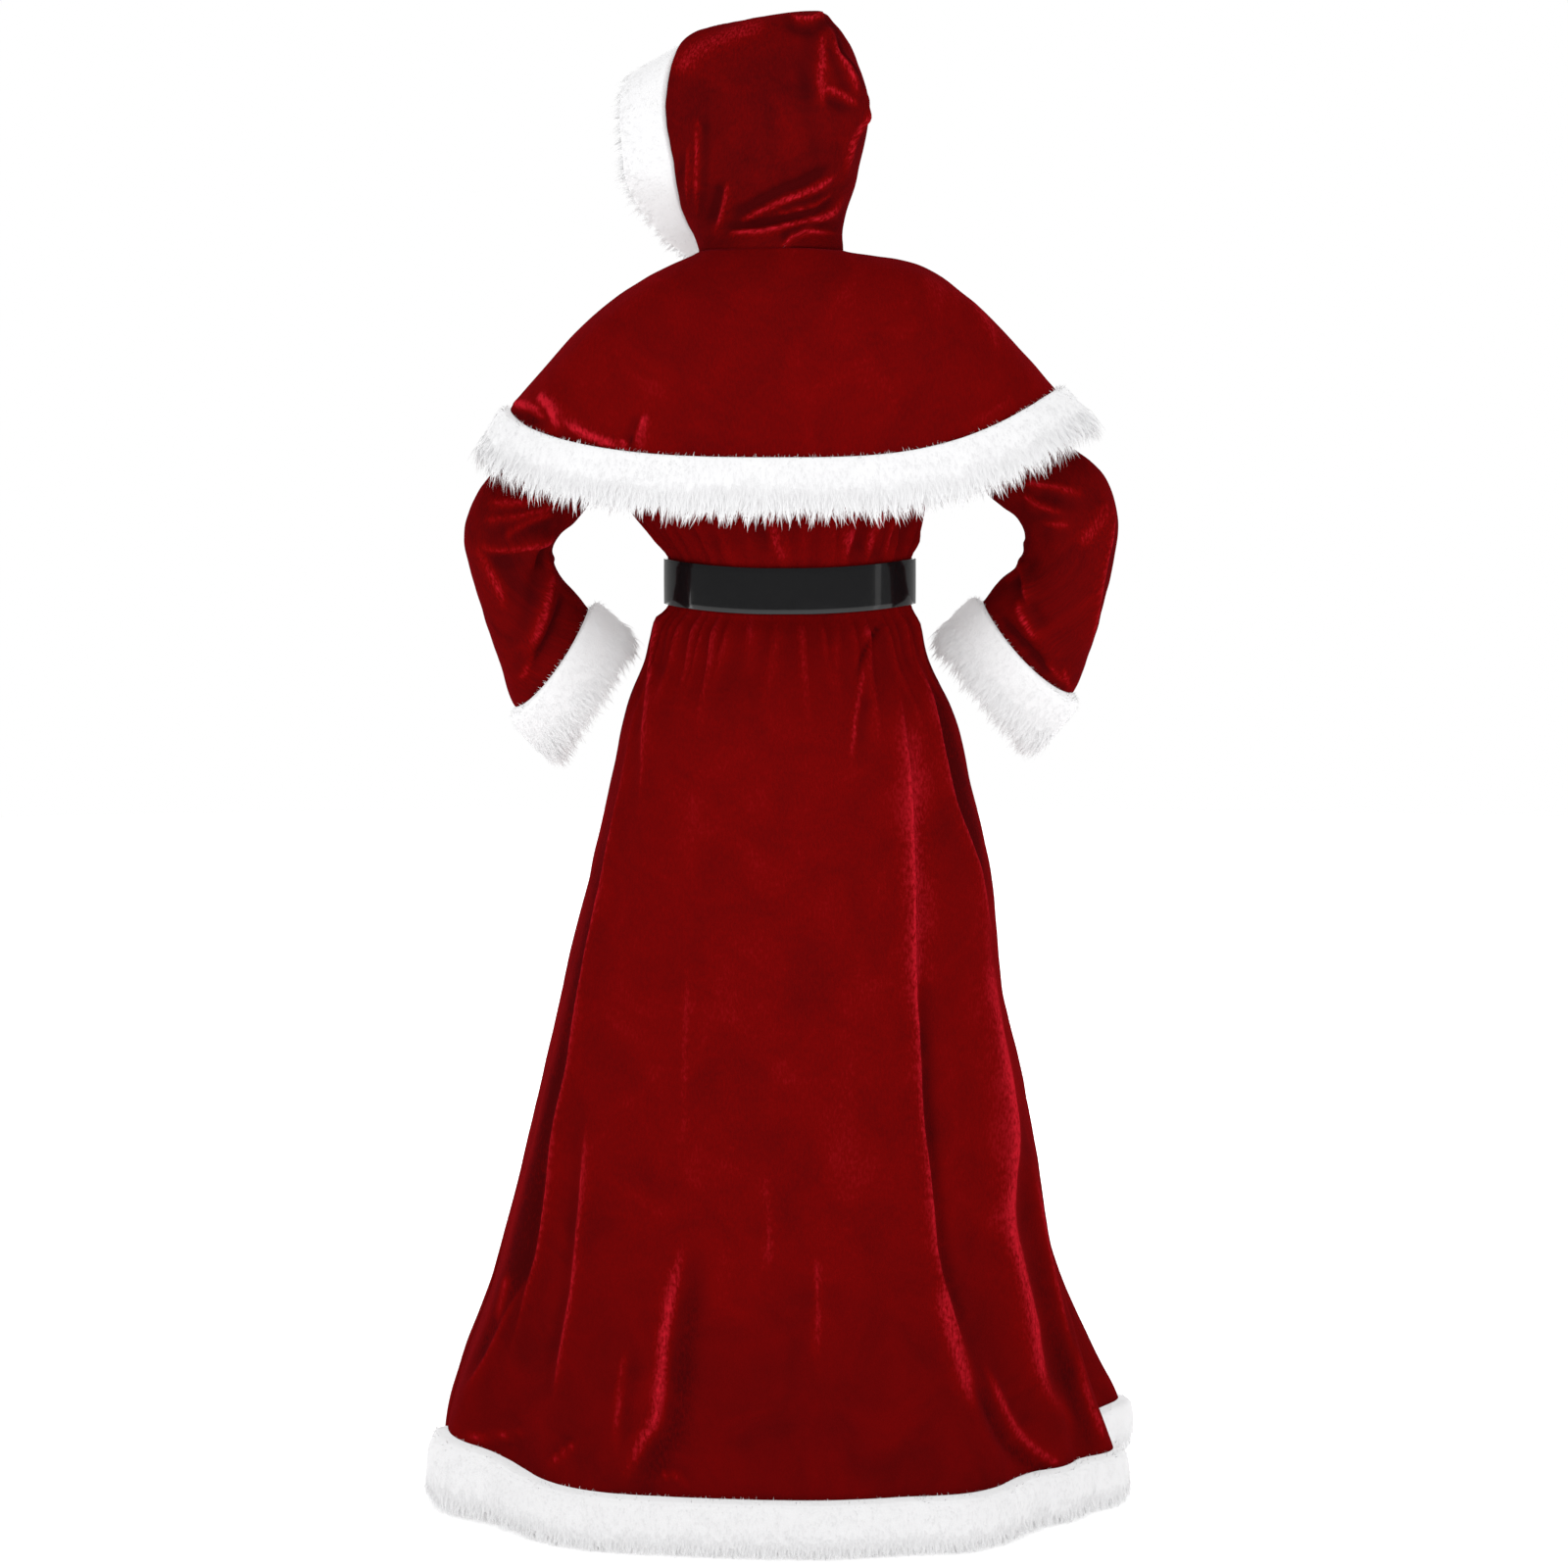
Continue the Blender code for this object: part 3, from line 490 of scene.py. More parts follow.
def add_scaled(tree, value, factor, base):
    """The sum of a base and a scaled value; the factor and the base may be sockets or numbers."""
    given = dict(enumerate((value, factor, base)))
    numbers = {place: item for place, item in given.items() if isinstance(item, (int, float))}
    sockets = {place: item for place, item in given.items() if place not in numbers}
    node = add_node(tree, "ShaderNodeMath", numbers, sockets)
    node.operation = "MULTIPLY_ADD"
    return node.outputs[0]


def add_ramp(tree, fac, stops):
    """A colour ramp through a table of positions and colours, and its colour."""
    node = add_node(tree, "ShaderNodeValToRGB", {}, {"Fac": fac})
    ends = node.color_ramp.elements
    ends[0].position, ends[0].color = stops[0][0], (*stops[0][1], 1.0)
    ends[1].position, ends[1].color = stops[-1][0], (*stops[-1][1], 1.0)
    for position, colour in stops[1:-1]:
        ends.new(position).color = (*colour, 1.0)
    return node.outputs["Color"]


def make_velvet(name, seed, cloud_scale, tone_and_painted_light):
    material, tree, surface = new_material(name)
    grain = add_node(tree, "ShaderNodeUVMap", {}, {})
    grain.uv_map = GRAIN_MAP
    pile = tree.nodes.new("ShaderNodeGroup")
    pile.node_tree = pile_group
    set_inputs(pile, {"Cloud Scale": cloud_scale, "Seed": seed})
    tree.links.new(grain.outputs["UV"], pile.inputs["Vector"])
    # The painted fold light, broken up by the streaks, is added to the part's tone, which is itself set as
    # painted light.
    nap = add_node(tree, "ShaderNodeAttribute", {}, {})
    nap.attribute_name = PAINTED_FOLD_LIGHT
    broken = add_scaled(tree, pile.outputs["Streak"], FOLD_LIGHT_ON_STREAKS, FOLD_LIGHT_SHARE)
    lean = add_scaled(tree, nap.outputs["Fac"], broken, tone_and_painted_light)
    cloudy = add_scaled(tree, pile.outputs["Cloud"], CLOUD_SHARE, lean)
    shade = add_scaled(tree, pile.outputs["Streak"], STREAK_SHARE, cloudy)
    reds = add_ramp(tree, shade, [(DEEP_AND_SHADE_AT, PILE_DEEP_AND_SHADE), (BODY_AT, PILE_BODY), (BRIGHT_AND_HIGHLIGHT_AT, PILE_BRIGHT_AND_HIGHLIGHT)])
    tree.links.new(reds, surface.inputs["Base Color"])
    add_bump(tree, surface, pile.outputs["Streak"], 0.4, 0.0008)
    set_inputs(surface, {"Roughness": 0.50, "Specular IOR Level": 0.0, "Sheen Weight": 0.08,
                         "Sheen Roughness": 0.30, "Sheen Tint": (*VELVET_SHINE, 1.0)})
    return material


# Each part is the same velvet. The last number is its tone, set lighter for the skirt and darker for the
# sleeves and the hood as painted light and shade.
skirt_velvet = make_velvet("skirt velvet", 0.0, 13.0, 0.275)
bodice_velvet = make_velvet("bodice velvet", 3.7, 16.0, 0.235)
sleeve_velvet = make_velvet("sleeve velvet", 7.1, 19.0, 0.190)
cape_velvet = make_velvet("cape velvet", 11.3, 15.0, 0.255)
hood_velvet = make_velvet("hood velvet", 17.9, 20.0, 0.170)
print("velvet: five materials from one group")

# %% [markdown]
# The skirt hangs from the belt to the floor in two panels. Its form is a tube of rings, each with
# its own reach to the left, right, back and front, and large folds that grow towards the hem.
# The solid has the same rings and folds, but for a flatter left front edge and a small tuck at
# the right rear. Here they are read on a grid fine enough for creases.

# %% Skirt form
WAIST_Z = -0.3170
HEM_Z = -1.262
SEAM = 0.0003
RING_SQUARENESS = 2.15
FOLD_GROWTH = 1.5
TUCK_DEPTH = 0.013
TUCK_ANGLE = 165.0
TUCK_SPREAD = 10.0
TUCK_START = -1.10
TUCK_REACH = 0.16
Ring = namedtuple("Ring", "z left right back front")
Fold = namedtuple("Fold", "name waist hem width depth start")
SKIRT = [
    Ring(-1.330, 0.386, 0.360, 0.346, 0.306),
    Ring(-1.262, 0.384, 0.356, 0.334, 0.298),
    Ring(-1.200, 0.368, 0.336, 0.318, 0.288),
    Ring(-1.091, 0.328, 0.305, 0.288, 0.266),
    Ring(-0.980, 0.298, 0.287, 0.262, 0.246),
    Ring(-0.869, 0.271, 0.266, 0.236, 0.226),
    Ring(-0.759, 0.2455, 0.241, 0.212, 0.208),
    Ring(-0.649, 0.218, 0.231, 0.190, 0.190),
    Ring(-0.540, 0.192, 0.207, 0.168, 0.172),
    Ring(-0.458, 0.175, 0.186, 0.150, 0.156),
    Ring(-0.404, 0.154, 0.160, 0.131, 0.137),
    Ring(-0.364, 0.141, 0.150, 0.114, 0.118),
    Ring(-0.345, 0.1270, 0.1400, 0.098, 0.101),
    Ring(-0.334, 0.1265, 0.1395, 0.097, 0.100),
    Ring(-0.300, 0.1265, 0.1395, 0.097, 0.100),
]
SKIRT_FOLDS = [
    Fold("left front edge", 345, 342, 15, 0.004, -0.50),
    Fold("left side trough", 8, 5, 13, -0.009, -0.50),
    Fold("left back edge", 26, 24, 12, 0.013, -0.42),
    Fold("left back trough", 42, 39, 13, -0.009, -0.55),
    Fold("left back swell", 60, 57, 15, 0.007, -0.70),
    Fold("centre trough", 84, 80, 18, -0.005, -0.80),
    Fold("right back edge", 118, 120, 13, 0.012, -0.42),
    Fold("right back trough", 133, 138, 12, -0.014, -0.45),
    Fold("right corner", 158, 163, 11, 0.032, -0.90),
    Fold("right side trough", 178, 182, 11, -0.032, -0.90),
    Fold("right front corner", 196, 203, 14, 0.058, -0.90),
    Fold("right front trough", 216, 227, 14, -0.016, -0.55),
    Fold("front right edge", 242, 246, 14, 0.014, -0.45),
    Fold("front trough", 268, 267, 17, -0.010, -0.60),
    Fold("front left edge", 294, 296, 14, 0.015, -0.45),
    Fold("front left trough", 320, 321, 15, -0.013, -0.50),
]


def oval(angle, left, right, back, front, squareness):
    """The x and y of points on an oval with four unlike reaches."""
    across, depth = np.cos(np.radians(angle)), np.sin(np.radians(angle))
    x = rounded(across, 2.0 / squareness) * np.where(across >= 0, left, right)
    y = rounded(depth, 2.0 / squareness) * np.where(depth >= 0, back, front)
    return x, y


def ring_points(rows, angle, z, outwards=0.0):
    """Points of a tube of rings, moved out from the tube's axis."""
    angle, z = np.broadcast_arrays(angle, z)
    ring = read(rows, z)
    x, y = oval(angle, ring.left, ring.right, ring.back, ring.front, RING_SQUARENESS)
    grow = 1.0 + outwards / np.hypot(x, y)
    return np.stack([x * grow, y * grow, z], axis=-1)


def turn_between(first, second):
    return (first - second + 180.0) % 360.0 - 180.0


def fold_depth(angle, z):
    """How far the skirt's folds stand out at an angle and a height."""
    down = (WAIST_Z - z) / (WAIST_Z - HEM_Z)
    total = 0.0
    for fold in SKIRT_FOLDS:
        offset = turn_between(angle, mix(fold.waist, fold.hem, down)) / fold.width
        grown = np.clip((fold.start - z) / (fold.start - HEM_Z), 0.0, 1.0) ** FOLD_GROWTH
        total = total + fold.depth * grown * (0.5 + 0.5 * np.cos(np.pi * np.clip(offset, -1, 1)))
    tucked = np.exp(-(turn_between(angle, TUCK_ANGLE) / TUCK_SPREAD) ** 2)
    return total - TUCK_DEPTH * tucked * ease((TUCK_START - z) / TUCK_REACH)


print("skirt:", len(SKIRT), "rings and", len(SKIRT_FOLDS), "large folds")

# %% [markdown]
# At the waist the cloth is gathered: it is pressed flat under the belt and springs into small
# uneven folds above and below it, which fade out. Each gather gets its own place, depth and
# length from a fixed seed, and near a panel's side seams they die away.

# %% Gathers
BELT_HALF = 0.026
GATHERS_PER_PANEL = 25
GATHER_PRESSED = 0.0011
GATHER_DEPTH = 0.0062
GATHER_SHINE = 0.40
GATHER_FREED = 0.022
GATHER_SHIFT = 0.25
GATHER_WIDTHS = (0.16, 0.36)
GATHER_DEPTHS = (0.45, 1.15)
GATHER_REACHES = (0.45, 1.25)
GATHER_LEAN = 7.0
GATHER_SEAM_ANGLE = 6.0


def gathers(angle, away, fade, first, seed):
    """The height of a panel's gathers at a distance from the waist line."""
    random = np.random.default_rng(seed)
    spacing = 180.0 / GATHERS_PER_PANEL
    total = 0.0
    for index in range(GATHERS_PER_PANEL):
        middle = first + (index + 0.5 + random.uniform(-GATHER_SHIFT, GATHER_SHIFT)) * spacing
        width = spacing * random.uniform(*GATHER_WIDTHS)
        depth = random.uniform(*GATHER_DEPTHS)
        reach = fade * random.uniform(*GATHER_REACHES)
        lean = random.uniform(-GATHER_LEAN, GATHER_LEAN) * away / fade
        shape = np.exp(-((turn_between(angle, middle + lean) / width) ** 2))
        total = total + depth * shape * (1.0 - ease((away - BELT_HALF) / reach))
    at_seam = ease((angle - first) / GATHER_SEAM_ANGLE) * ease((first + 180.0 - angle) / GATHER_SEAM_ANGLE)
    deep = mix(GATHER_PRESSED, GATHER_DEPTH, ease((away - BELT_HALF) / GATHER_FREED))
    return (total * 1.5 - 0.6 * (1.0 - ease((away - BELT_HALF) / fade))) * deep * at_seam


print("gathers:", GATHERS_PER_PANEL, "for each panel")

# %% [markdown]
# The back of the skirt is what the photograph shows best: two long folds run down at the sides
# of a smooth middle, a drag line pulls to the right below the belt, and near the floor the cloth
# breaks into short soft ridges over the fur. The front isn't seen, so it gets a few like them.

# %% Skirt creases
# Each crease's last number is its painted light. A few have hardly any height and are painted light alone:
# "left side shade" is a band of painted shade, and the shiny band, the patches and the middle streak are
# painted highlights.
SKIRT_BACK_CREASES = [
    Crease("left long fold", [(0.157, -0.428), (0.171, -0.508), (0.187, -0.595), (0.203, -0.677),
                              (0.218, -0.750), (0.232, -0.840), (0.246, -0.903), (0.261, -1.025),
                              (0.274, -1.072), (0.288, -1.121), (0.301, -1.165)], 0.0062, 0.0062, 0.8, 1.0),
    Crease("left side shade", [(0.172, -0.428), (0.188, -0.520), (0.208, -0.610), (0.227, -0.700),
                               (0.245, -0.790), (0.267, -0.920), (0.289, -1.030), (0.316, -1.130),
                               (0.350, -1.215)], 0.040, -0.0003, 0.0, 0.85),
    Crease("left inner line", [(0.134, -0.345), (0.141, -0.366), (0.149, -0.447), (0.157, -0.585)],
           0.005, 0.0030, 0.5, 0.7),
    Crease("left branch", [(0.275, -1.058), (0.298, -1.105), (0.322, -1.155), (0.354, -1.205)],
           0.006, 0.0050, 0.6, 0.8),
    Crease("left hem line", [(0.209, -0.870), (0.213, -0.928), (0.217, -0.988), (0.223, -1.059),
                             (0.229, -1.095), (0.239, -1.150), (0.244, -1.185)], 0.006, 0.0042, 0.5, 1.0),
    Crease("left soft band", [(0.104, -0.985), (0.110, -1.022), (0.118, -1.058), (0.122, -1.083),
                              (0.126, -1.108), (0.128, -1.138), (0.134, -1.182), (0.149, -1.209),
                              (0.164, -1.238), (0.173, -1.251)], 0.013, 0.0062, -0.6, 1.5),
    Crease("left band's side", [(0.165, -1.110), (0.173, -1.165), (0.177, -1.229)], 0.006, 0.0036, -0.5, 0.8),
    Crease("left patch", [(0.298, -1.062), (0.304, -1.085), (0.314, -1.122)], 0.010, 0.0024, 0.2, 1.2),
    Crease("hem pucker left", [(0.214, -1.212), (0.230, -1.226), (0.252, -1.244)], 0.005, 0.0036, 0.4, 1.0),
    Crease("hem pucker far left", [(0.350, -1.236), (0.311, -1.230), (0.270, -1.216)],
           0.005, 0.0036, 0.4, 0.9),
    Crease("hem pucker middle", [(0.098, -1.252), (0.118, -1.238), (0.134, -1.250)], 0.005, 0.0028, 0.3, 0.8),
    Crease("right long fold", [(-0.119, -0.375), (-0.123, -0.429), (-0.128, -0.479), (-0.132, -0.536),
                               (-0.135, -0.633), (-0.136, -0.737), (-0.140, -0.798), (-0.144, -0.874),
                               (-0.149, -0.924), (-0.155, -0.980), (-0.160, -1.025), (-0.176, -1.087),
                               (-0.191, -1.132), (-0.207, -1.179)], 0.0068, 0.0080, -0.9, 1.1),
    Crease("right shiny band", [(-0.138, -0.430), (-0.141, -0.500), (-0.144, -0.600), (-0.145, -0.675),
                                (-0.144, -0.740), (-0.141, -0.820)], 0.022, 0.0022, -0.1, 1.1),
    Crease("right low patch", [(-0.160, -1.040), (-0.172, -1.095), (-0.188, -1.145), (-0.202, -1.190)],
           0.017, 0.0026, -0.2, 1.1),
    Crease("right second fold", [(-0.139, -0.380), (-0.150, -0.417), (-0.159, -0.445), (-0.173, -0.510),
                                 (-0.184, -0.558), (-0.199, -0.595), (-0.212, -0.633), (-0.222, -0.681),
                                 (-0.235, -0.722)], 0.0062, 0.0072, -0.9, 1.0),
    Crease("right dark hollow", [(-0.166, -0.400), (-0.186, -0.483), (-0.199, -0.536), (-0.214, -0.580),
                                 (-0.227, -0.634), (-0.238, -0.690)], 0.024, -0.0034, 0.0, 1.2),
    Crease("right sheen", [(-0.206, -0.650), (-0.217, -0.695), (-0.225, -0.759), (-0.233, -0.812),
                           (-0.241, -0.864), (-0.247, -0.916), (-0.242, -0.965), (-0.241, -1.005),
                           (-0.252, -1.058), (-0.265, -1.111), (-0.269, -1.144), (-0.281, -1.184),
                           (-0.306, -1.217), (-0.343, -1.253)], 0.0165, 0.0085, -0.6, 1.5),
    Crease("right hem ridge", [(-0.208, -1.130), (-0.221, -1.166), (-0.239, -1.206), (-0.258, -1.231),
                               (-0.287, -1.254), (-0.310, -1.262)], 0.0070, 0.0066, 0.8, 1.1),
    Crease("right edge line", [(-0.268, -0.930), (-0.276, -0.967), (-0.289, -1.043), (-0.303, -1.109),
                               (-0.322, -1.183)], 0.008, 0.0050, -0.6, 1.1),
    Crease("right corner ridge", [(-0.316, -1.130), (-0.326, -1.190), (-0.338, -1.226), (-0.352, -1.256)],
           0.0075, 0.0056, 0.5, 1.1),
    Crease("drag groove", [(-0.118, -0.350), (-0.101, -0.363), (-0.090, -0.378), (-0.082, -0.399),
                           (-0.077, -0.424)], 0.0048, -0.0034, 0.0, 1.0),
    Crease("drag line", [(-0.088, -0.398), (-0.081, -0.430), (-0.075, -0.468), (-0.071, -0.515)],
           0.0052, 0.0026, -0.5, 0.9),
    Crease("middle swell", [(0.052, -0.560), (0.060, -0.760), (0.058, -0.980), (0.066, -1.180)],
           0.034, 0.0026, 0.2, 0.05),
    Crease("right middle swell", [(-0.060, -0.620), (-0.066, -0.840), (-0.074, -1.080), (-0.082, -1.240)],
           0.032, 0.0026, -0.3, 0.05),
    Crease("middle streak", [(0.102, -0.700), (0.105, -0.800), (0.106, -0.920)], 0.006, 0.0012, 0.3, 0.3),
    Crease("low soft patch", [(-0.034, -1.010), (-0.036, -1.070), (-0.032, -1.130)], 0.008, 0.0014, 0.2, 0.6),
    Crease("low faint patch", [(0.020, -0.930), (0.016, -0.990), (0.019, -1.040)], 0.009, 0.0010, 0.2, 0.4),
]
SKIRT_FRONT_CREASES = [
    Crease("front left fold", [(0.105, -0.370), (0.130, -0.560), (0.165, -0.840), (0.215, -1.190)],
           0.015, 0.0093, 0.6),
    Crease("front right fold", [(-0.090, -0.370), (-0.118, -0.600), (-0.150, -0.860), (-0.175, -1.210)],
           0.014, 0.0093, -0.6),
    Crease("front middle line", [(0.020, -0.380), (0.012, -0.600), (-0.006, -0.860), (0.004, -1.060)],
           0.020, 0.0054, 0.4),
    Crease("front hem ridge", [(0.060, -1.060), (0.072, -1.160), (0.098, -1.245)], 0.012, 0.0070, 0.5),
    Crease("front hem line", [(-0.070, -1.090), (-0.086, -1.180), (-0.080, -1.250)], 0.010, 0.0059, -0.5),
    Crease("front left edge", [(0.190, -0.620), (0.225, -0.840), (0.285, -1.120), (0.320, -1.230)],
           0.014, 0.0081, -0.5),
    Crease("front right edge", [(-0.180, -0.560), (-0.215, -0.800), (-0.262, -1.060), (-0.300, -1.220)],
           0.014, 0.0081, 0.5),
]

# %% Skirt panels
SKIRT_ROWS = 150
SKIRT_BACK_COLUMNS = 300
SKIRT_FRONT_COLUMNS = 140
Crowd = namedtuple("Crowd", "angle spread extra")
CROWDS = {"back": (Crowd(38, 16, 1.1), Crowd(132, 24, 1.1)), "front": ()}
SEAM_REACH = 0.02
SEAM_DIP = 0.0012
SKIRT_ROW_CROWDING = 1.12
SKIRT_GATHER_FADE = 0.15
SKIRT_UNEVEN = 0.0006
BROAD_RIPPLE = 0.085
FINE_RIPPLE = 0.034
BELT_FREED = 0.012
HEM_SHADE = 0.32
HEM_SHADE_Z = -0.93
HEM_SHADE_REACH = 0.30
HEM_DROP = 0.024
HEM_DROP_ANGLE = 345.0
HEM_DROP_SPREAD = 17.0
WAIST_SAG = 0.0070
SIDE_RISE = 0.0030
WAIST_BACK = 0.100
WAIST_ASIDE = 0.135
SAG_REACH = 0.075


def seam_dip(columns):
    """A small dip along a panel's first and last columns, where it is sewn to the next one."""
    from_edge = np.minimum(np.arange(columns), np.arange(columns)[::-1])
    return -SEAM_DIP * np.exp(-(from_edge / 0.9) ** 2)


def finish_panel(grid, creases, side, uneven, seed):
    """Lift a panel's creases and its small unevenness along its outward directions."""
    facing = outward(grid)
    height, nap = crease_cloth(grid, facing, creases, side)
    unevenness = ripple(grid, BROAD_RIPPLE, seed) + 0.5 * ripple(grid, FINE_RIPPLE, seed + 1)
    height = height + uneven * unevenness
    height = height + seam_dip(grid.shape[1])
    return grid + facing * height[..., None], nap


def hem_drop(angle):
    """How far the velvet goes on below its hem line, where the fur is sewn on lower."""
    return HEM_DROP * np.exp(-(turn_between(angle, HEM_DROP_ANGLE) / HEM_DROP_SPREAD) ** 2)


def crowded_angles(first, last, columns, crowds):
    """Angles from first to last, closer together around the sharp folds."""
    fine = np.linspace(first, last, 721)
    density = np.ones(len(fine))
    for crowd in crowds:
        density += crowd.extra * np.exp(-((fine - crowd.angle) / crowd.spread) ** 2)
    share = np.concatenate([[0.0], np.cumsum(0.5 * (density[1:] + density[:-1]))])
    return np.interp(np.linspace(0.0, share[-1], columns), share, fine)


def sag_waist(points):
    """Let the waist hang lower behind and rise a little at its sides, as the belt does."""
    behind = np.clip(points[..., 1] / WAIST_BACK, 0.0, 1.0) ** 2
    aside = np.clip(np.abs(points[..., 0]) / WAIST_ASIDE, 0.0, 1.0) ** 2
    near = np.exp(-((points[..., 2] - WAIST_Z) / SAG_REACH) ** 2)
    moved = points.copy()
    moved[..., 2] += near * (SIDE_RISE * aside - WAIST_SAG * behind)
    return moved


def skirt_panel(first, columns, creases, side, seed):
    angle = crowded_angles(first + SEAM_REACH, first + 180.0 - SEAM_REACH, columns, CROWDS[side])[None]
    reach = WAIST_Z - HEM_Z + hem_drop(angle)
    z = WAIST_Z - SEAM / 2 - reach * (np.linspace(0.0, 1.0, SKIRT_ROWS) ** SKIRT_ROW_CROWDING)[:, None]
    gathered = gathers(angle, WAIST_Z - z, SKIRT_GATHER_FADE, first, seed)
    out = fold_depth(angle, z) + gathered
    grid, nap = finish_panel(ring_points(SKIRT, angle, z, out), creases, side, SKIRT_UNEVEN, seed)
    free = ease((WAIST_Z - z - BELT_HALF) / BELT_FREED)[..., None]
    flat = ring_points(SKIRT, angle, z, gathered)
    # Painted light: painted highlight on the gathers' crests, painted shade between them, and painted shade
    # that grows towards the hem.
    hem_shade = HEM_SHADE * ease((HEM_SHADE_Z - z) / HEM_SHADE_REACH)
    nap = nap + GATHER_SHINE * gathered / GATHER_DEPTH - hem_shade
    return sag_waist(mix(flat, grid, free)), nap


skirt_back_grid, skirt_back_painted_light = skirt_panel(0.0, SKIRT_BACK_COLUMNS, SKIRT_BACK_CREASES, "back", 21)
skirt_front_grid, skirt_front_painted_light = skirt_panel(180.0, SKIRT_FRONT_COLUMNS, SKIRT_FRONT_CREASES, "front", 22)
skirt_back = add_cloth("skirt_back_velvet", skirt_back_grid, skirt_back_painted_light, skirt_velvet)
skirt_front = add_cloth("skirt_front_velvet", skirt_front_grid, skirt_front_painted_light, skirt_velvet)
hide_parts("skirt_back")
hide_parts("skirt_front")

# %% [markdown]
# The bodice mostly lies under the cape. What shows is the gathered strip above the belt, so the
# panels follow the solid's rings with the same uneven gathers, and their sides curve in at the
# armholes where the sleeves lap over them.

# %% Bodice panels
UNDERARM_Z = -0.135
SHOULDER_Z = 0.0
NECK_SIDE_Z = 0.0385
NECK_BACK_Z = 0.027
NECK_FRONT_Z = 0.020
ARMHOLE_ANGLE = 30.0
BODICE_ROWS = 60
BODICE_NECK_ROWS = 10
BODICE_COLUMNS = 90
BODICE_GATHER_FADE = 0.10
BODICE_UNEVEN = 0.0003
UNDERARM_REACH = 0.03
BODICE = [
    Ring(-0.335, 0.1265, 0.1395, 0.097, 0.100),
    Ring(-0.300, 0.1265, 0.1395, 0.097, 0.100),
    Ring(-0.290, 0.1270, 0.1400, 0.098, 0.101),
    Ring(-0.268, 0.142, 0.148, 0.106, 0.110),
    Ring(-0.233, 0.170, 0.156, 0.114, 0.122),
    Ring(-0.190, 0.172, 0.160, 0.120, 0.134),
    Ring(-0.135, 0.165, 0.162, 0.124, 0.138),
    Ring(-0.090, 0.160, 0.163, 0.124, 0.126),
    Ring(-0.045, 0.160, 0.166, 0.114, 0.106),
    Ring(-0.015, 0.158, 0.164, 0.096, 0.088),
    Ring(0.004, 0.142, 0.150, 0.078, 0.074),
    Ring(0.020, 0.120, 0.122, 0.066, 0.064),
    Ring(0.040, 0.101, 0.095, 0.060, 0.058),
]
BODICE_BACK_CREASES = [
    Crease("right gather drag", [(-0.088, -0.290), (-0.094, -0.262), (-0.110, -0.235)], 0.007, 0.0054, 0.5),
    Crease("right side gather", [(-0.108, -0.290), (-0.114, -0.258), (-0.128, -0.235)], 0.006, 0.0047, 0.4),
    Crease("middle diagonal", [(-0.060, -0.290), (-0.072, -0.256), (-0.080, -0.230)], 0.007, 0.0043, 0.4),
    Crease("left diagonal", [(0.002, -0.290), (0.011, -0.256), (0.020, -0.230)], 0.006, 0.0034, -0.4),
]


def armhole_angle(z):
    """How much of a ring the armhole takes, to each side of the shoulder line."""
    middle = (UNDERARM_Z + SHOULDER_Z) / 2.0
    part = np.clip(np.abs(z - middle) / (SHOULDER_Z - middle), 0.0, 1.0)
    return ARMHOLE_ANGLE * (1.0 - part * part) ** 0.4


def armhole_height(turn):
    """The height of the armhole's edge; turn 0 is the shoulder and 180 the underarm."""
    middle = (UNDERARM_Z + SHOULDER_Z) / 2.0
    return middle + (SHOULDER_Z - middle) * np.cos(np.radians(turn))


def neckline(angle):
    depth = np.sin(np.radians(angle))
    middle = np.where(depth > 0, NECK_BACK_Z, NECK_FRONT_Z)
    return mix(NECK_SIDE_Z, middle, np.abs(depth) ** 1.5)


def bodice_panel(first, creases, side, seed):
    below = np.linspace(WAIST_Z + SEAM / 2, UNDERARM_Z, BODICE_ROWS // 2)
    beside = armhole_height(np.linspace(180.0, 0.0, BODICE_ROWS - len(below) + 1)[1:])
    z = np.concatenate([below, beside])[::-1, None]
    part = np.linspace(0.0, 1.0, BODICE_COLUMNS)[None]
    gap = SEAM_REACH + armhole_angle(z)
    angle = first + gap + (180.0 - 2 * gap) * part
    gathered = gathers(angle, z - WAIST_Z, BODICE_GATHER_FADE, first, seed)
    lower = ring_points(BODICE, angle, z, gathered)
    top_angle = np.repeat(angle[:1], BODICE_NECK_ROWS, axis=0)
    up = np.linspace(1.0, 0.0, BODICE_NECK_ROWS + 1)[:-1, None]
    upper = ring_points(BODICE, top_angle, mix(SHOULDER_Z, neckline(top_angle), up))
    grid = np.concatenate([upper, lower], axis=0)
    raised, nap = finish_panel(grid, creases, side, BODICE_UNEVEN, seed)
    above_belt = ease((grid[..., 2:] - WAIST_Z - BELT_HALF) / BELT_FREED)
    free = above_belt * ease((UNDERARM_Z - grid[..., 2:]) / UNDERARM_REACH)
    # Painted highlight and painted shade on the gathers, as on the skirt.
    nap[BODICE_NECK_ROWS:] += GATHER_SHINE * gathered / GATHER_DEPTH
    return sag_waist(mix(grid, raised, free)), nap


bodice_back_grid, bodice_back_painted_light = bodice_panel(0.0, BODICE_BACK_CREASES, "back", 31)
bodice_front_grid, bodice_front_painted_light = bodice_panel(180.0, [], "front", 32)
bodice_back = add_cloth("bodice_back_velvet", bodice_back_grid, bodice_back_painted_light, bodice_velvet)
bodice_front = add_cloth("bodice_front_velvet", bodice_front_grid, bodice_front_painted_light, bodice_velvet)
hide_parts("bodice_back")
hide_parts("bodice_front")

# %% [markdown]
# The sleeves are bent sharply, with the cuffs drawn in towards the waist. Each is a tube of
# leaning rings from the armhole to the cuff. The cloth crumples inside the bend, pulls in thin
# ridges above it, and hangs in a groove towards the cuff, each placed as seen from behind.

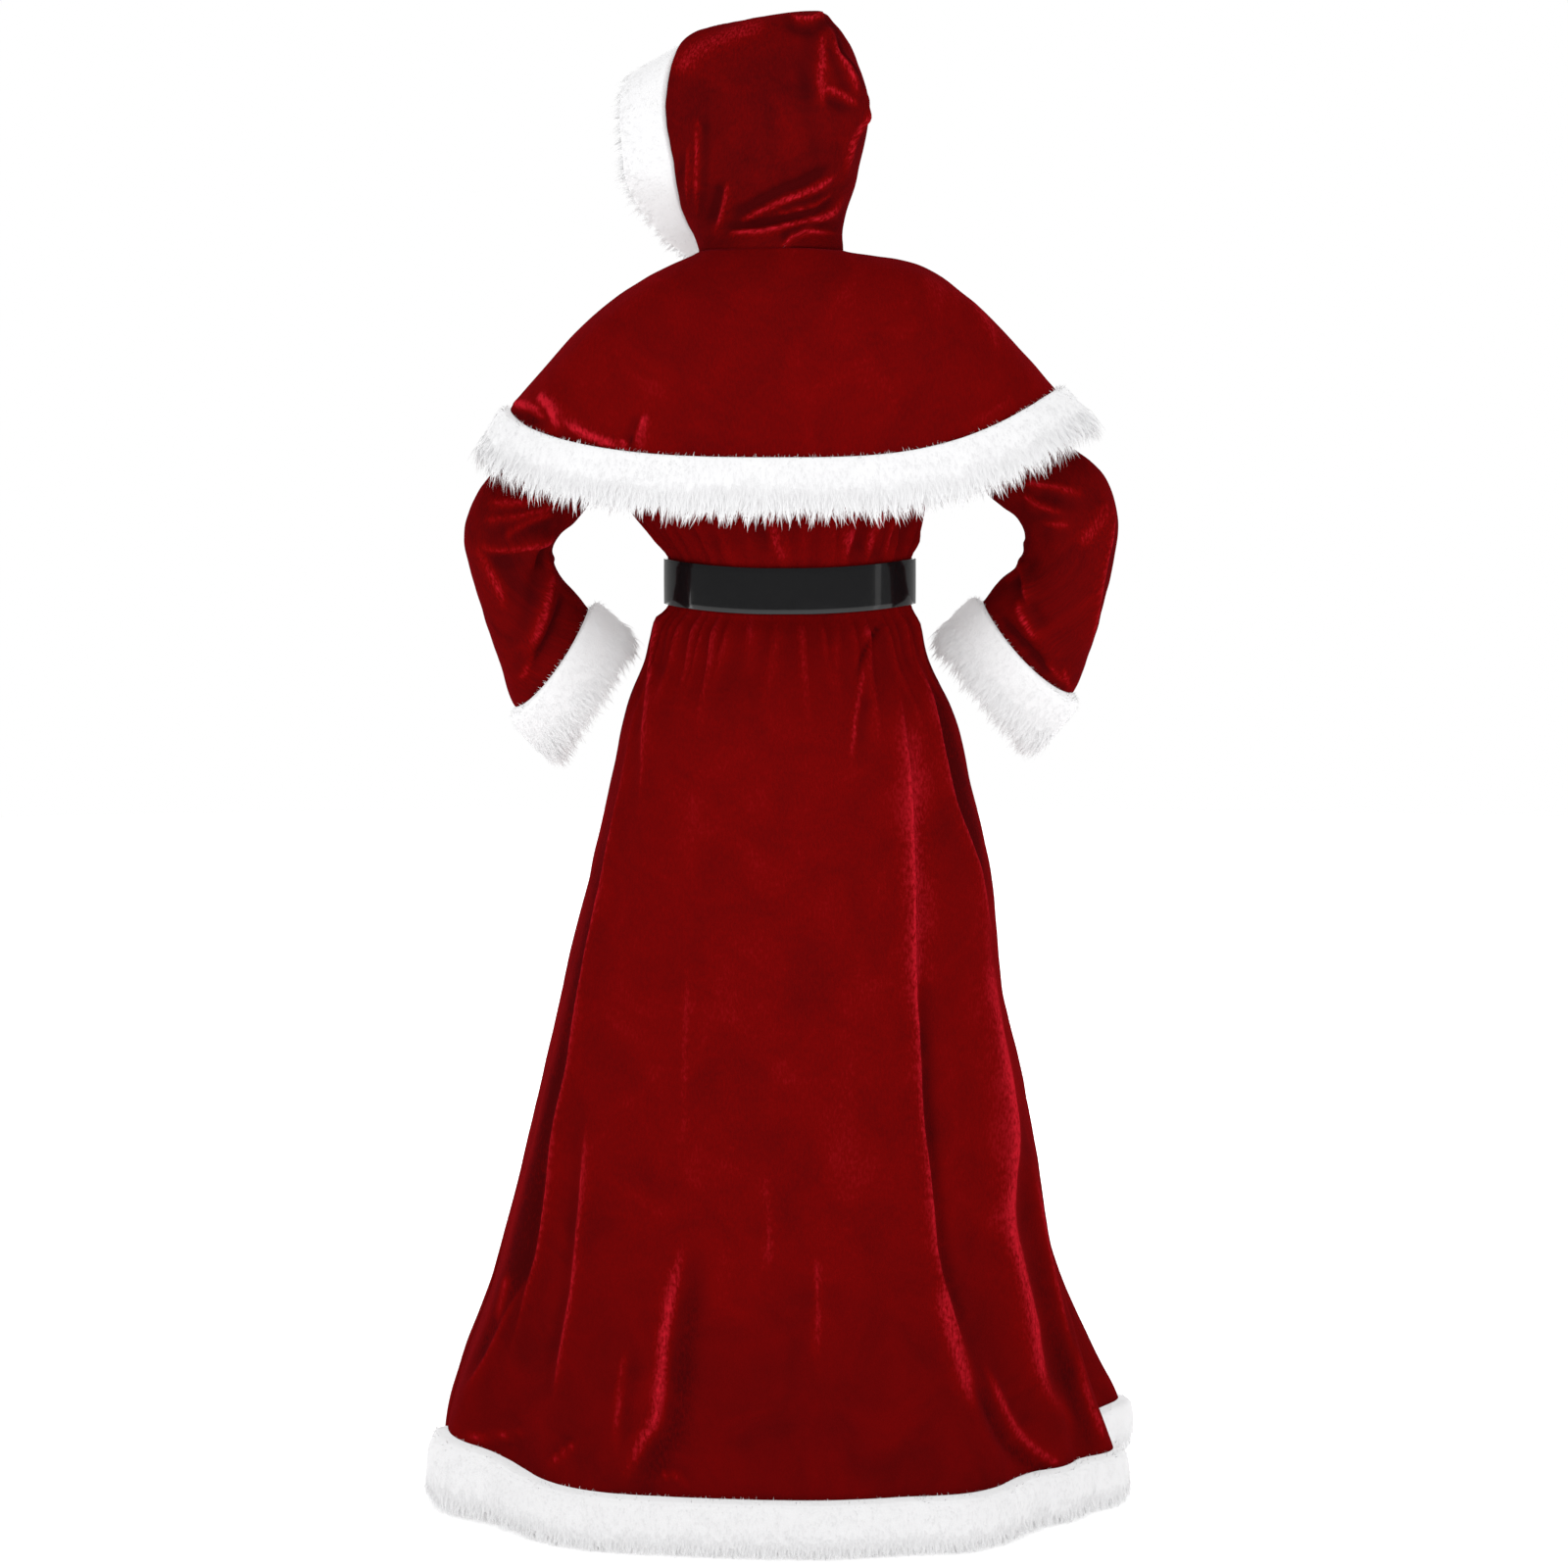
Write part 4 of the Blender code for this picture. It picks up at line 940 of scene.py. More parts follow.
# %% Sleeve form
Station = namedtuple("Station", "along x y z across depth lean")
LEFT_SLEEVE = [
    Station(0.00, 0.2040, 0.008, -0.1025, 0.0485, 0.053, 61),
    Station(0.17, 0.2285, 0.026, -0.146, 0.047, 0.052, 44),
    Station(0.33, 0.253, 0.036, -0.196, 0.050, 0.047, 33),
    Station(0.45, 0.282, 0.046, -0.234, 0.055, 0.048, 16),
    Station(0.55, 0.297, 0.050, -0.264, 0.052, 0.051, -2),
    Station(0.65, 0.298, 0.044, -0.294, 0.045, 0.050, -16),
    Station(0.77, 0.288, 0.028, -0.331, 0.047, 0.053, -30),
    Station(0.89, 0.271, 0.008, -0.368, 0.057, 0.059, -43),
    Station(1.00, 0.258, -0.012, -0.400, 0.067, 0.064, -53),
    Station(1.25, 0.208, -0.046, -0.4510, 0.068, 0.066, -57),
]
RIGHT_SLEEVE = [
    Station(0.00, 0.2030, 0.008, -0.0970, 0.0485, 0.053, 61),
    Station(0.17, 0.2325, 0.026, -0.136, 0.047, 0.052, 44),
    Station(0.33, 0.259, 0.036, -0.184, 0.050, 0.047, 33),
    Station(0.45, 0.293, 0.046, -0.214, 0.057, 0.048, 18),
    Station(0.55, 0.310, 0.050, -0.245, 0.054, 0.051, 0),
    Station(0.65, 0.313, 0.044, -0.278, 0.049, 0.050, -13),
    Station(0.77, 0.305, 0.028, -0.316, 0.051, 0.053, -26),
    Station(0.89, 0.288, 0.008, -0.353, 0.062, 0.060, -37),
    Station(1.00, 0.271, -0.012, -0.3885, 0.070, 0.065, -45),
    Station(1.25, 0.220, -0.046, -0.447, 0.071, 0.067, -50),
]
LAPPED_EDGE = 0.0022
SLEEVE_UNEVEN = 0.0006
SLEEVE_RIPPLES = (0.07, 0.028)
SLEEVE_CALM_ROWS_TOP = 8.0
SLEEVE_CALM_ROWS_CUFF = 5.0
SLEEVE_TOP_ROWS = 16
SLEEVE_ROWS = 96
SLEEVE_COLUMNS = 92
SLEEVE_UNDER_FUR = 0.046


def sleeve_points(stations, side, along, turn, outwards=0.0):
    """Points of a sleeve: turn 0 is its outer side and 90 is its back."""
    along, turn = np.broadcast_arrays(along, turn)
    here = read(stations, along)
    lean = np.radians(here.lean)
    across = (here.across + outwards) * np.cos(np.radians(turn))
    depth = (here.depth + outwards) * np.sin(np.radians(turn))
    x = here.x + np.cos(lean) * across
    return np.stack([x * side, here.y + depth, here.z + np.sin(lean) * across], axis=-1)


def armhole_points(side, turn):
    """The sleeve's top edge, which laps on the armhole; turn 0 is the shoulder."""
    z = armhole_height(turn)
    hole = armhole_angle(z) * np.where(np.sin(np.radians(turn)) >= 0, 1.0, -1.0)
    angle = hole if side > 0 else 180.0 - hole
    around = ring_points(BODICE, angle + 1.0, z) - ring_points(BODICE, angle - 1.0, z)
    rise = ring_points(BODICE, angle, z + 0.004) - ring_points(BODICE, angle, z - 0.004)
    return ring_points(BODICE, angle, z) + unit(np.cross(around, rise)) * LAPPED_EDGE


def sleeve_grid(stations, side):
    turn = np.linspace(0.0, 360.0, SLEEVE_COLUMNS, endpoint=False)[None]
    top = armhole_points(side, turn)
    first = sleeve_points(stations, side, 0.0, turn)
    part = np.linspace(0.0, 1.0, SLEEVE_TOP_ROWS, endpoint=False)[:, None, None]
    last = 1.0 - SEAM + SLEEVE_UNDER_FUR * np.clip(np.sin(np.radians(turn)), 0.0, 1.0) ** 1.5
    arm = sleeve_points(stations, side, np.linspace(0.0, 1.0, SLEEVE_ROWS)[:, None] * last, turn)
    grid = np.concatenate([mix(top, first, part), arm], axis=0)
    return grid if side > 0 else grid[:, ::-1]


# %% Sleeve creases
LEFT_SLEEVE_CREASES = [
    Crease("arm pull low", [(0.330, -0.249), (0.312, -0.246), (0.288, -0.243), (0.258, -0.234),
                            (0.238, -0.226)], 0.008, 0.0047, 0.6),
    Crease("arm pull high", [(0.326, -0.230), (0.300, -0.229), (0.276, -0.226), (0.248, -0.216)],
           0.008, 0.0043, 0.6),
    Crease("arm pull short", [(0.306, -0.271), (0.290, -0.256), (0.262, -0.243), (0.246, -0.240)],
           0.007, 0.0040, 0.5),
    Crease("elbow pull", [(0.334, -0.268), (0.316, -0.277), (0.290, -0.277), (0.262, -0.270),
                          (0.246, -0.262)], 0.008, 0.0053, 0.6),
    Crease("elbow crumple", [(0.246, -0.258), (0.262, -0.270), (0.270, -0.284), (0.274, -0.304)],
           0.007, 0.0070, -0.7),
    Crease("elbow crumple low", [(0.242, -0.262), (0.254, -0.274), (0.257, -0.290), (0.254, -0.312)],
           0.006, 0.0062, 0.7),
    Crease("long forearm line", [(0.252, -0.300), (0.258, -0.322), (0.266, -0.356), (0.279, -0.396)],
           0.008, 0.0062, 0.6),
    Crease("forearm groove", [(0.240, -0.318), (0.246, -0.348), (0.262, -0.382), (0.286, -0.418)],
           0.009, -0.0059, 0.4),
    Crease("outer arm line", [(0.336, -0.268), (0.322, -0.292), (0.308, -0.320), (0.304, -0.350)],
           0.009, 0.0047, -0.4),
    Crease("upper arm soft fold", [(0.300, -0.178), (0.272, -0.190), (0.246, -0.196)],
           0.012, 0.0040, 0.4, 0.40),
    Crease("cuff pucker", [(0.272, -0.392), (0.290, -0.424)], 0.006, 0.0037, 0.4),
]
RIGHT_SLEEVE_CREASES = [
    Crease("arm pull high", [(-0.256, -0.203), (-0.270, -0.207), (-0.286, -0.210), (-0.306, -0.215),
                             (-0.330, -0.222)], 0.0075, 0.0043, 0.6),
    Crease("arm pull low", [(-0.256, -0.214), (-0.267, -0.224), (-0.282, -0.233), (-0.306, -0.240)],
           0.0075, 0.0043, 0.6),
    Crease("arm pull faint", [(-0.276, -0.248), (-0.292, -0.251), (-0.312, -0.252)], 0.007, 0.0025, 0.4),
    Crease("elbow swell", [(-0.316, -0.280), (-0.328, -0.262), (-0.341, -0.244), (-0.350, -0.222)],
           0.016, 0.0053, -0.3, 0.90),
    Crease("outer arm line", [(-0.357, -0.215), (-0.352, -0.262), (-0.345, -0.306), (-0.340, -0.347),
                              (-0.334, -0.400)], 0.008, 0.0053, -0.7),
    Crease("inner elbow ridge", [(-0.256, -0.282), (-0.260, -0.300), (-0.264, -0.323), (-0.268, -0.345)],
           0.006, 0.0053, 0.6),
    Crease("elbow crumple", [(-0.242, -0.318), (-0.254, -0.300), (-0.258, -0.280)], 0.007, 0.0053, 0.6),
    Crease("cuff groove", [(-0.230, -0.340), (-0.247, -0.365), (-0.265, -0.384), (-0.280, -0.400),
                           (-0.300, -0.420)], 0.009, -0.0074, -0.4),
    Crease("middle forearm line", [(-0.254, -0.330), (-0.262, -0.352), (-0.276, -0.378)],
           0.007, 0.0047, -0.5),
    Crease("cuff pucker low", [(-0.284, -0.398), (-0.309, -0.426)], 0.006, 0.0047, 0.5),
    Crease("cuff pucker", [(-0.304, -0.408), (-0.316, -0.434)], 0.005, 0.0037, 0.4),
]
ARM_FRONT_CREASES = [
    Crease("front pull", [(0.326, -0.230), (0.296, -0.236), (0.262, -0.226)], 0.009, 0.0047, 0.5),
    Crease("front elbow", [(0.250, -0.262), (0.276, -0.276), (0.318, -0.276)], 0.009, 0.0059, 0.6),
    Crease("front crumple", [(0.244, -0.282), (0.266, -0.300), (0.284, -0.330)], 0.008, 0.0056, -0.6),
    Crease("front forearm", [(0.250, -0.330), (0.266, -0.366), (0.292, -0.400)], 0.010, 0.0056, 0.5),
]
MIRRORED_ARM_CREASES = [
    crease._replace(path=[(-x, z) for x, z in crease.path], steep=-crease.steep)
    for crease in ARM_FRONT_CREASES
]


def add_sleeve(name, stations, side, back_creases, front_creases, seed):
    grid = sleeve_grid(stations, side)
    facing = outward(grid, closed=True)
    height, nap = crease_cloth(grid, facing, back_creases, "back")
    front_height, front_painted_fold_light = crease_cloth(grid, facing, front_creases, "front")
    broad, fine = SLEEVE_RIPPLES
    unevenness = ripple(grid, broad, seed) + 0.6 * ripple(grid, fine, seed + 1)
    height = height + front_height + SLEEVE_UNEVEN * unevenness
    from_top = ease(np.arange(len(grid)) / SLEEVE_CALM_ROWS_TOP)[:, None]
    from_cuff = ease(np.arange(len(grid))[::-1] / SLEEVE_CALM_ROWS_CUFF)[:, None]
    grid = grid + facing * (height * from_top * from_cuff)[..., None]
    return add_cloth(name, grid, nap + front_painted_fold_light, sleeve_velvet, closed=True)


sleeve_left = add_sleeve("sleeve_left_velvet", LEFT_SLEEVE, 1.0, LEFT_SLEEVE_CREASES, ARM_FRONT_CREASES, 41)
sleeve_right = add_sleeve(
    "sleeve_right_velvet", RIGHT_SLEEVE, -1.0, RIGHT_SLEEVE_CREASES, MIRRORED_ARM_CREASES, 43)
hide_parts("sleeve_left")
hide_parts("sleeve_right")

# %% [markdown]
# The cape is cut nearly as a circle, so it drapes from the neck over the shoulders with hardly a
# fold. It stands out squarely over the bent sleeves. Its few creases lie at the left corner and
# in soft swells over the shoulders, and it opens down the centre front.

# %% Cape form
Drape = namedtuple("Drape", "down left left_z right right_z back back_z front front_z")
CAPE = [
    Drape(0.00, 0.091, 0.046, 0.066, 0.046, 0.078, 0.046, 0.074, 0.046),
    Drape(0.25, 0.155, 0.016, 0.150, 0.031, 0.118, 0.004, 0.112, 0.002),
    Drape(0.50, 0.213, -0.027, 0.209, -0.011, 0.144, -0.054, 0.142, -0.056),
    Drape(0.75, 0.258, -0.075, 0.255, -0.058, 0.162, -0.116, 0.160, -0.118),
    Drape(1.00, 0.299, -0.124, 0.297, -0.105, 0.180, -0.179, 0.174, -0.179),
    Drape(1.30, 0.331, -0.184, 0.342, -0.155, 0.195, -0.248, 0.188, -0.246),
]
CAPE_SQUARENESS = 3.0
CAPE_FULLNESS_LEFT = 1.2
CAPE_FULLNESS_RIGHT = 2.4
CAPE_OPENING = 0.012
CAPE_UNEVEN = 0.0005
CAPE_COLUMN_CROWDING = 0.45
CAPE_ROWS = 66
CAPE_BACK_COLUMNS = 152
CAPE_FRONT_COLUMNS = 70
CAPE_BACK_CREASES = [
    Crease("left corner", [(0.308, -0.116), (0.292, -0.121), (0.271, -0.127), (0.252, -0.140)],
           0.007, 0.0060, 0.6, 2.2),
    Crease("left patch", [(0.266, -0.110), (0.256, -0.120), (0.247, -0.130), (0.240, -0.154)],
           0.010, 0.0058, 0.4, 2.3),
    Crease("left swell", [(0.240, -0.138), (0.215, -0.153), (0.194, -0.162), (0.166, -0.170)],
           0.009, 0.0050, 0.5, 1.7),
    Crease("left pucker", [(0.146, -0.132), (0.151, -0.152), (0.158, -0.176)], 0.0055, 0.0042, 0.6, 1.5),
    Crease("left small pucker", [(0.172, -0.156), (0.166, -0.178)], 0.0045, 0.0034, -0.5, 1.4),
    Crease("left shoulder", [(0.100, 0.028), (0.150, -0.008), (0.204, -0.052), (0.252, -0.098)],
           0.022, 0.0034, 0.2, 0.10),
    Crease("right shoulder", [(-0.100, 0.034), (-0.160, 0.004), (-0.214, -0.034), (-0.262, -0.080)],
           0.020, 0.0037, -0.3, 0.12),
    Crease("right streak", [(-0.196, 0.004), (-0.213, -0.030), (-0.234, -0.074)], 0.010, 0.0028, 0.4, 0.50),
    Crease("back drape left", [(0.040, 0.028), (0.066, -0.050), (0.084, -0.120), (0.092, -0.176)],
           0.024, 0.0034, 0.3, 0.06),
    Crease("back drape right", [(-0.052, 0.028), (-0.080, -0.046), (-0.110, -0.110), (-0.128, -0.170)],
           0.024, 0.0037, -0.3, 0.08),
    Crease("right corner swell", [(-0.250, -0.106), (-0.228, -0.128), (-0.196, -0.146)],
           0.010, 0.0031, 0.3, 0.30),
]
CAPE_FRONT_CREASES = [
    Crease("left front drape", [(0.052, 0.020), (0.086, -0.060), (0.104, -0.170)], 0.018, 0.0053, 0.4),
    Crease("right front drape", [(-0.052, 0.020), (-0.086, -0.060), (-0.104, -0.170)], 0.018, 0.0053, -0.4),
    Crease("left front shoulder", [(0.110, 0.010), (0.180, -0.050), (0.236, -0.118)], 0.016, 0.0050, 0.4),
    Crease("right front shoulder", [(-0.110, 0.016), (-0.180, -0.040), (-0.240, -0.108)],
           0.016, 0.0050, -0.4),
]


def cape_squareness(down):
    return mix(2.0, CAPE_SQUARENESS, ease(down * 1.4))


def seam_angle(reach, away, squareness):
    """The angle where a ring has come a short way away from one of its axes."""
    return np.degrees(np.arcsin((away / reach) ** (squareness / 2.0)))


def cape_gap(angle, down):
    """The angle kept clear of a seam, or of the opening at the centre front."""
    drape = read(CAPE, down)
    if angle == 270.0:
        away = mix(0.5 * SEAM, CAPE_OPENING, np.minimum(down, 1.0) ** 1.5)
        return seam_angle(0.5 * (drape.left + drape.right), away, cape_squareness(down))
    return seam_angle(drape.back, 0.8 * SEAM, cape_squareness(down))


def cape_points(angle, down):
    """Points of the cape; down is 0 at the neck seam and 1 at the red hem."""
    angle, down = np.broadcast_arrays(angle, down)
    drape = read(CAPE, down)
    x, y = oval(angle, drape.left, drape.right, drape.back, drape.front, cape_squareness(down))
    fullness = np.where(x >= 0, CAPE_FULLNESS_LEFT, CAPE_FULLNESS_RIGHT)
    depth = np.abs(np.sin(np.radians(angle))) ** mix(0.9, fullness, ease(down))
    side_z = mix(drape.right_z, drape.left_z, 0.5 + 0.5 * np.cos(np.radians(angle)))
    middle_z = np.where(y >= 0, drape.back_z, drape.front_z)
    return np.stack([x, y, mix(side_z, middle_z, depth)], axis=-1)


def cape_panel(name, first, last, columns, creases, side, seed):
    down = np.linspace(0.0, 1.0, CAPE_ROWS)[:, None]
    first_gap, last_gap = cape_gap(first, down), cape_gap(last, down)
    start, stop = first + first_gap, last - last_gap
    part = 0.5 - 0.5 * np.cos(np.pi * np.linspace(0.0, 1.0, columns))
    part = mix(np.linspace(0.0, 1.0, columns), part, CAPE_COLUMN_CROWDING)[None]
    grid, nap = finish_panel(cape_points(mix(start, stop, part), down), creases, side, CAPE_UNEVEN, seed)
    return add_cloth(name, grid, nap, cape_velvet)


cape_back = cape_panel("cape_back_velvet", 0.0, 180.0, CAPE_BACK_COLUMNS, CAPE_BACK_CREASES, "back", 51)
cape_right = cape_panel(
    "cape_front_right_velvet", 180.0, 270.0, CAPE_FRONT_COLUMNS, CAPE_FRONT_CREASES, "front", 52)
cape_left = cape_panel(
    "cape_front_left_velvet", 270.0, 360.0, CAPE_FRONT_COLUMNS, CAPE_FRONT_CREASES, "front", 53)
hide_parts("cape_back")
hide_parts("cape_front_right")
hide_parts("cape_front_left")

# %% [markdown]
# The hood is two halves sewn over the crown, and it is turned towards the left of the dress. Its
# seam shows as a fine groove with small puckers, the crown has a dent, and low at the back the
# cloth bunches in slanting ridges above the neck seam.

# %% Hood form
Slice = namedtuple("Slice", "rise back face half back_z face_z pinch turn")
HOOD = [
    Slice(0.00, -0.078, 0.074, 0.078, 0.0476, 0.0476, 0.62, 8),
    Slice(0.15, -0.081, 0.074, 0.081, 0.083, 0.080, 0.30, 34),
    Slice(0.35, -0.094, 0.076, 0.097, 0.135, 0.130, 0.12, 52),
    Slice(0.58, -0.111, 0.084, 0.100, 0.200, 0.192, 0.08, 55),
    Slice(0.80, -0.094, 0.096, 0.098, 0.262, 0.246, 0.06, 55),
    Slice(1.00, -0.066, 0.114, 0.094, 0.303, 0.278, 0.00, 55),
]
SetBack = namedtuple("SetBack", "rise far")
FACE_SET_BACK = [
    SetBack(0.00, 0.000), SetBack(0.15, 0.001), SetBack(0.35, 0.010), SetBack(0.58, 0.004),
    SetBack(0.80, 0.012), SetBack(1.00, 0.028),
]
HOOD_CENTRE = np.array((0.0125, 0.0, 0.0))
HOOD_CROWN = 0.012
HOOD_SIDE_TURN = 0.58
HOOD_SEAM = 0.0003
HOOD_BASE_LAP = 0.0026
HOOD_ROWS = 92
HOOD_COLUMNS = 84
# The crease called "top sheen" has hardly any height: it is a painted highlight.
HOOD_CREASES = [
    Crease("crown seam", [(-0.040, 0.306), (-0.045, 0.303), (-0.056, 0.285), (-0.062, 0.259),
                          (-0.074, 0.231), (-0.087, 0.208)], 0.005, -0.0040, 0.3, 1.2),
    Crease("crown dent", [(-0.004, 0.300), (-0.019, 0.290), (-0.036, 0.295), (-0.043, 0.306)],
           0.006, 0.0050, 0.7, 1.3),
    Crease("crown streak", [(-0.043, 0.284), (-0.040, 0.255), (-0.038, 0.220), (-0.045, 0.184)],
           0.009, 0.0050, 0.5, 1.2),
    Crease("crown line", [(-0.052, 0.276), (-0.056, 0.250), (-0.066, 0.226), (-0.074, 0.204)],
           0.0045, 0.0036, 0.5, 1.3),
    Crease("bulge line", [(-0.038, 0.216), (-0.050, 0.212), (-0.062, 0.207), (-0.078, 0.194)],
           0.006, 0.0052, 0.7, 1.4),
    Crease("edge band", [(-0.088, 0.200), (-0.079, 0.182), (-0.073, 0.160), (-0.064, 0.120)],
           0.007, 0.0050, -0.5, 1.2),
    Crease("nape high", [(0.052, 0.071), (0.039, 0.079), (0.008, 0.094), (-0.025, 0.108), (-0.046, 0.119),
                         (-0.064, 0.130)], 0.0062, 0.0068, -0.8, 1.8),
    Crease("nape high edge", [(0.020, 0.080), (-0.010, 0.087), (-0.036, 0.094), (-0.056, 0.110)],
           0.0040, 0.0036, -0.6, 1.4),
    Crease("nape middle", [(0.062, 0.060), (0.053, 0.063), (0.022, 0.065), (-0.005, 0.071), (-0.039, 0.080),
                           (-0.056, 0.092), (-0.066, 0.108)], 0.0052, 0.0072, -0.8, 1.9),
    Crease("nape low", [(0.004, 0.050), (-0.002, 0.052), (-0.012, 0.060), (-0.032, 0.065), (-0.064, 0.062)],
           0.0045, 0.0050, -0.7, 1.6),
    Crease("left pleat", [(0.058, 0.120), (0.061, 0.105), (0.066, 0.084), (0.076, 0.060)],
           0.0060, 0.0052, 0.7, 1.3),
    Crease("left line", [(0.092, 0.190), (0.093, 0.168), (0.093, 0.125), (0.095, 0.077)],
           0.0045, 0.0030, -0.5, 1.1),
    Crease("left second line", [(0.102, 0.165), (0.103, 0.130), (0.104, 0.095)], 0.0045, 0.0026, 0.4, 0.9),
    Crease("top sheen", [(0.118, 0.230), (0.108, 0.248), (0.082, 0.268), (0.036, 0.284), (-0.005, 0.292)],
           0.034, 0.0002, 0.0, 0.9),
    Crease("back swell", [(0.034, 0.230), (0.046, 0.186), (0.044, 0.140)], 0.024, 0.0037, 0.2, 0.06),
    Crease("right hollow", [(-0.018, 0.200), (-0.030, 0.166), (-0.034, 0.134)], 0.016, -0.0031, 0.2, 0.20),
]
HOOD_RIGHT_CREASES = [
    Crease("side bulge", [(0.070, 0.262), (0.066, 0.228), (0.062, 0.196), (0.066, 0.160)],
           0.024, 0.0100, 0.1, 0.10),
]
HOOD_LEFT_CREASES = [
    Crease("crown fullness", [(0.010, 0.290), (-0.030, 0.268), (-0.050, 0.220)], 0.030, 0.0070, 0.1, 0.05),
]
SEAM_PUCKER = 0.0011
SEAM_PUCKER_SPACING = 0.017
SEAM_GROOVE = 0.007
HOOD_UNEVEN = 0.0007
HOOD_RIPPLES = (0.09, 0.03)
HOOD_BASE_CALM = 0.05
HOOD_BASE_SHARE = 0.02


def hood_points(side, rise, around, set_back=1.0):
    """Points of the hood; around is 0 at the back seam and 1 at the face edge."""
    rise, around = np.broadcast_arrays(rise, around)
    cut = read(HOOD, rise)
    cut = cut._replace(face=cut.face - set_back * read(FACE_SET_BACK, rise).far)
    half = cut.half * np.sqrt(np.maximum(1.0 - rise ** 4, 0.0))
    middle = mix(cut.back, cut.face, HOOD_SIDE_TURN)
    turn = np.radians(90.0 * np.minimum(around / HOOD_SIDE_TURN, 1.0))
    part = np.maximum((around - HOOD_SIDE_TURN) / (1.0 - HOOD_SIDE_TURN), 0.0)
    behind = around < HOOD_SIDE_TURN
    back_forward = mix(cut.back, middle, 1.0 - np.cos(turn))
    forward = np.where(behind, back_forward, mix(middle, cut.face, np.sin(part * np.pi / 2)))
    aside = np.where(behind, half * np.sin(turn) ** 1.1, half * (1.0 - cut.pinch * part * part))
    aside = (aside + HOOD_SEAM / 2) * side
    crown = HOOD_CROWN * rise ** 3 * np.sin(np.pi * around)
    z = mix(cut.back_z, cut.face_z, around) + crown
    facing = np.radians(cut.turn)
    x = forward * np.sin(facing) + aside * np.cos(facing)
    y = -forward * np.cos(facing) + aside * np.sin(facing)
    return HOOD_CENTRE + np.stack([x, y, z], axis=-1)


def add_hood_half(name, side, seed):
    rise = (1.0 - (1.0 - np.linspace(0.0, 0.99998, HOOD_ROWS)) ** 1.35)[::-1, None]
    around = (np.linspace(0.0, 1.0, HOOD_COLUMNS) ** 1.15)[None]
    if side > 0:
        around = around[:, ::-1]
    grid = hood_points(side, rise, around)
    facing = outward(grid)
    height, nap = crease_cloth(grid, facing, HOOD_CREASES, "back")
    swell, _ = crease_cloth(grid, facing, HOOD_RIGHT_CREASES, "right")
    fullness, _ = crease_cloth(grid, facing, HOOD_LEFT_CREASES, "left")
    to_seam = np.minimum(np.abs(1.0 - rise) * 0.30, around * 0.16) / SEAM_GROOVE
    along_seam = grid[..., 2] + grid[..., 1]
    pucker = np.sin(along_seam * math.tau / SEAM_PUCKER_SPACING + 2.0 * ripple(grid, 0.06, seed))
    height = height * ease(to_seam * 0.8) + swell + fullness - SEAM_PUCKER * np.exp(-to_seam ** 2)
    height = height + 0.5 * SEAM_PUCKER * pucker * np.exp(-(to_seam / 2.6) ** 2) * ease(to_seam)
    broad, fine = HOOD_RIPPLES
    unevenness = ripple(grid, broad, seed) + 0.6 * ripple(grid, fine, seed + 1)
    height = height + HOOD_UNEVEN * unevenness * ease(to_seam)
    grid = grid + facing * (height * ease(rise / HOOD_BASE_CALM))[..., None]
    grid[..., 2] -= HOOD_BASE_LAP * (1.0 - ease(rise / HOOD_BASE_SHARE))
    return add_cloth(name, grid, nap, hood_velvet)


hood_left = add_hood_half("hood_left_velvet", 1.0, 61)
hood_right = add_hood_half("hood_right_velvet", -1.0, 63)
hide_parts("hood_left")
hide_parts("hood_right")

# %% [markdown]
# Faux fur is a thick white pile. From a few metres it reads as a smooth plump band with tips
# only at its edges. So each trim is a plump body and, on it, many small locks: each is three
# flat blades with a bend. A Geometry Nodes tree scatters them, turns them to lie with the pile
# and makes them real. The shape under them says which way they lie and how long they are.

# %% One lock of fur
COMB = "comb"
LOCK_LENGTH = "lock_length"
COVER = "cover"
SOFT = "soft_normal"
TIP = "tip"
Blade = namedtuple("Blade", "side fan bend width length")
BLADES = [
    Blade(-0.08, 0.03, -0.10, 0.045, 0.78),
    Blade(0.00, 0.01, -0.17, 0.085, 1.00),
    Blade(0.08, -0.05, -0.06, 0.045, 0.88),
]
BLADE_TAPER = 0.27


def make_lock():
    """Three blades from one root, lying along Z, with their flat sides to Y."""
    points, faces, tips = [], [], []
    for blade in BLADES:
        first = len(points)
        middle = blade.side + blade.fan * 0.35
        end = blade.side + blade.fan
        points += [(blade.side - blade.width / 2, 0.0, 0.0), (blade.side + blade.width / 2, 0.0, 0.0),
                   (middle + blade.width * BLADE_TAPER, 0.06, blade.length * 0.5),
                   (middle - blade.width * BLADE_TAPER, 0.06, blade.length * 0.5),
                   (end, blade.bend, blade.length)]
        tips += [0.0, 0.0, 0.5, 0.5, 1.0]
        faces += [(first, first + 3, first + 2, first + 1), (first + 3, first + 4, first + 2)]
    mesh = bpy.data.meshes.new("fur lock")
    mesh.from_pydata(points, [], faces)
    layer = mesh.attributes.new(TIP, "FLOAT", "POINT")
    layer.data.foreach_set("value", tips)
    lock = bpy.data.objects.new("fur lock", mesh)
    bpy.context.collection.objects.link(lock)
    return lock


fur_lock = make_lock()
print("lock:", len(fur_lock.data.polygons), "faces")

# %% Fur tree
STRAY_LEAST = (-0.20, -0.30, -0.50)
STRAY_MOST = (0.22, 0.30, 0.50)
SMALLEST_LOCK = (0.75, 0.7, 0.50)
LARGEST_LOCK = (1.35, 1.3, 1.30)
LOCK_SIZE_SEED = 7


def tree_socket(tree, name, kind, default=None):
    socket = tree.interface.new_socket(name, in_out="INPUT", socket_type=kind)
    if default is not None:
        socket.default_value = default
    return socket.identifier


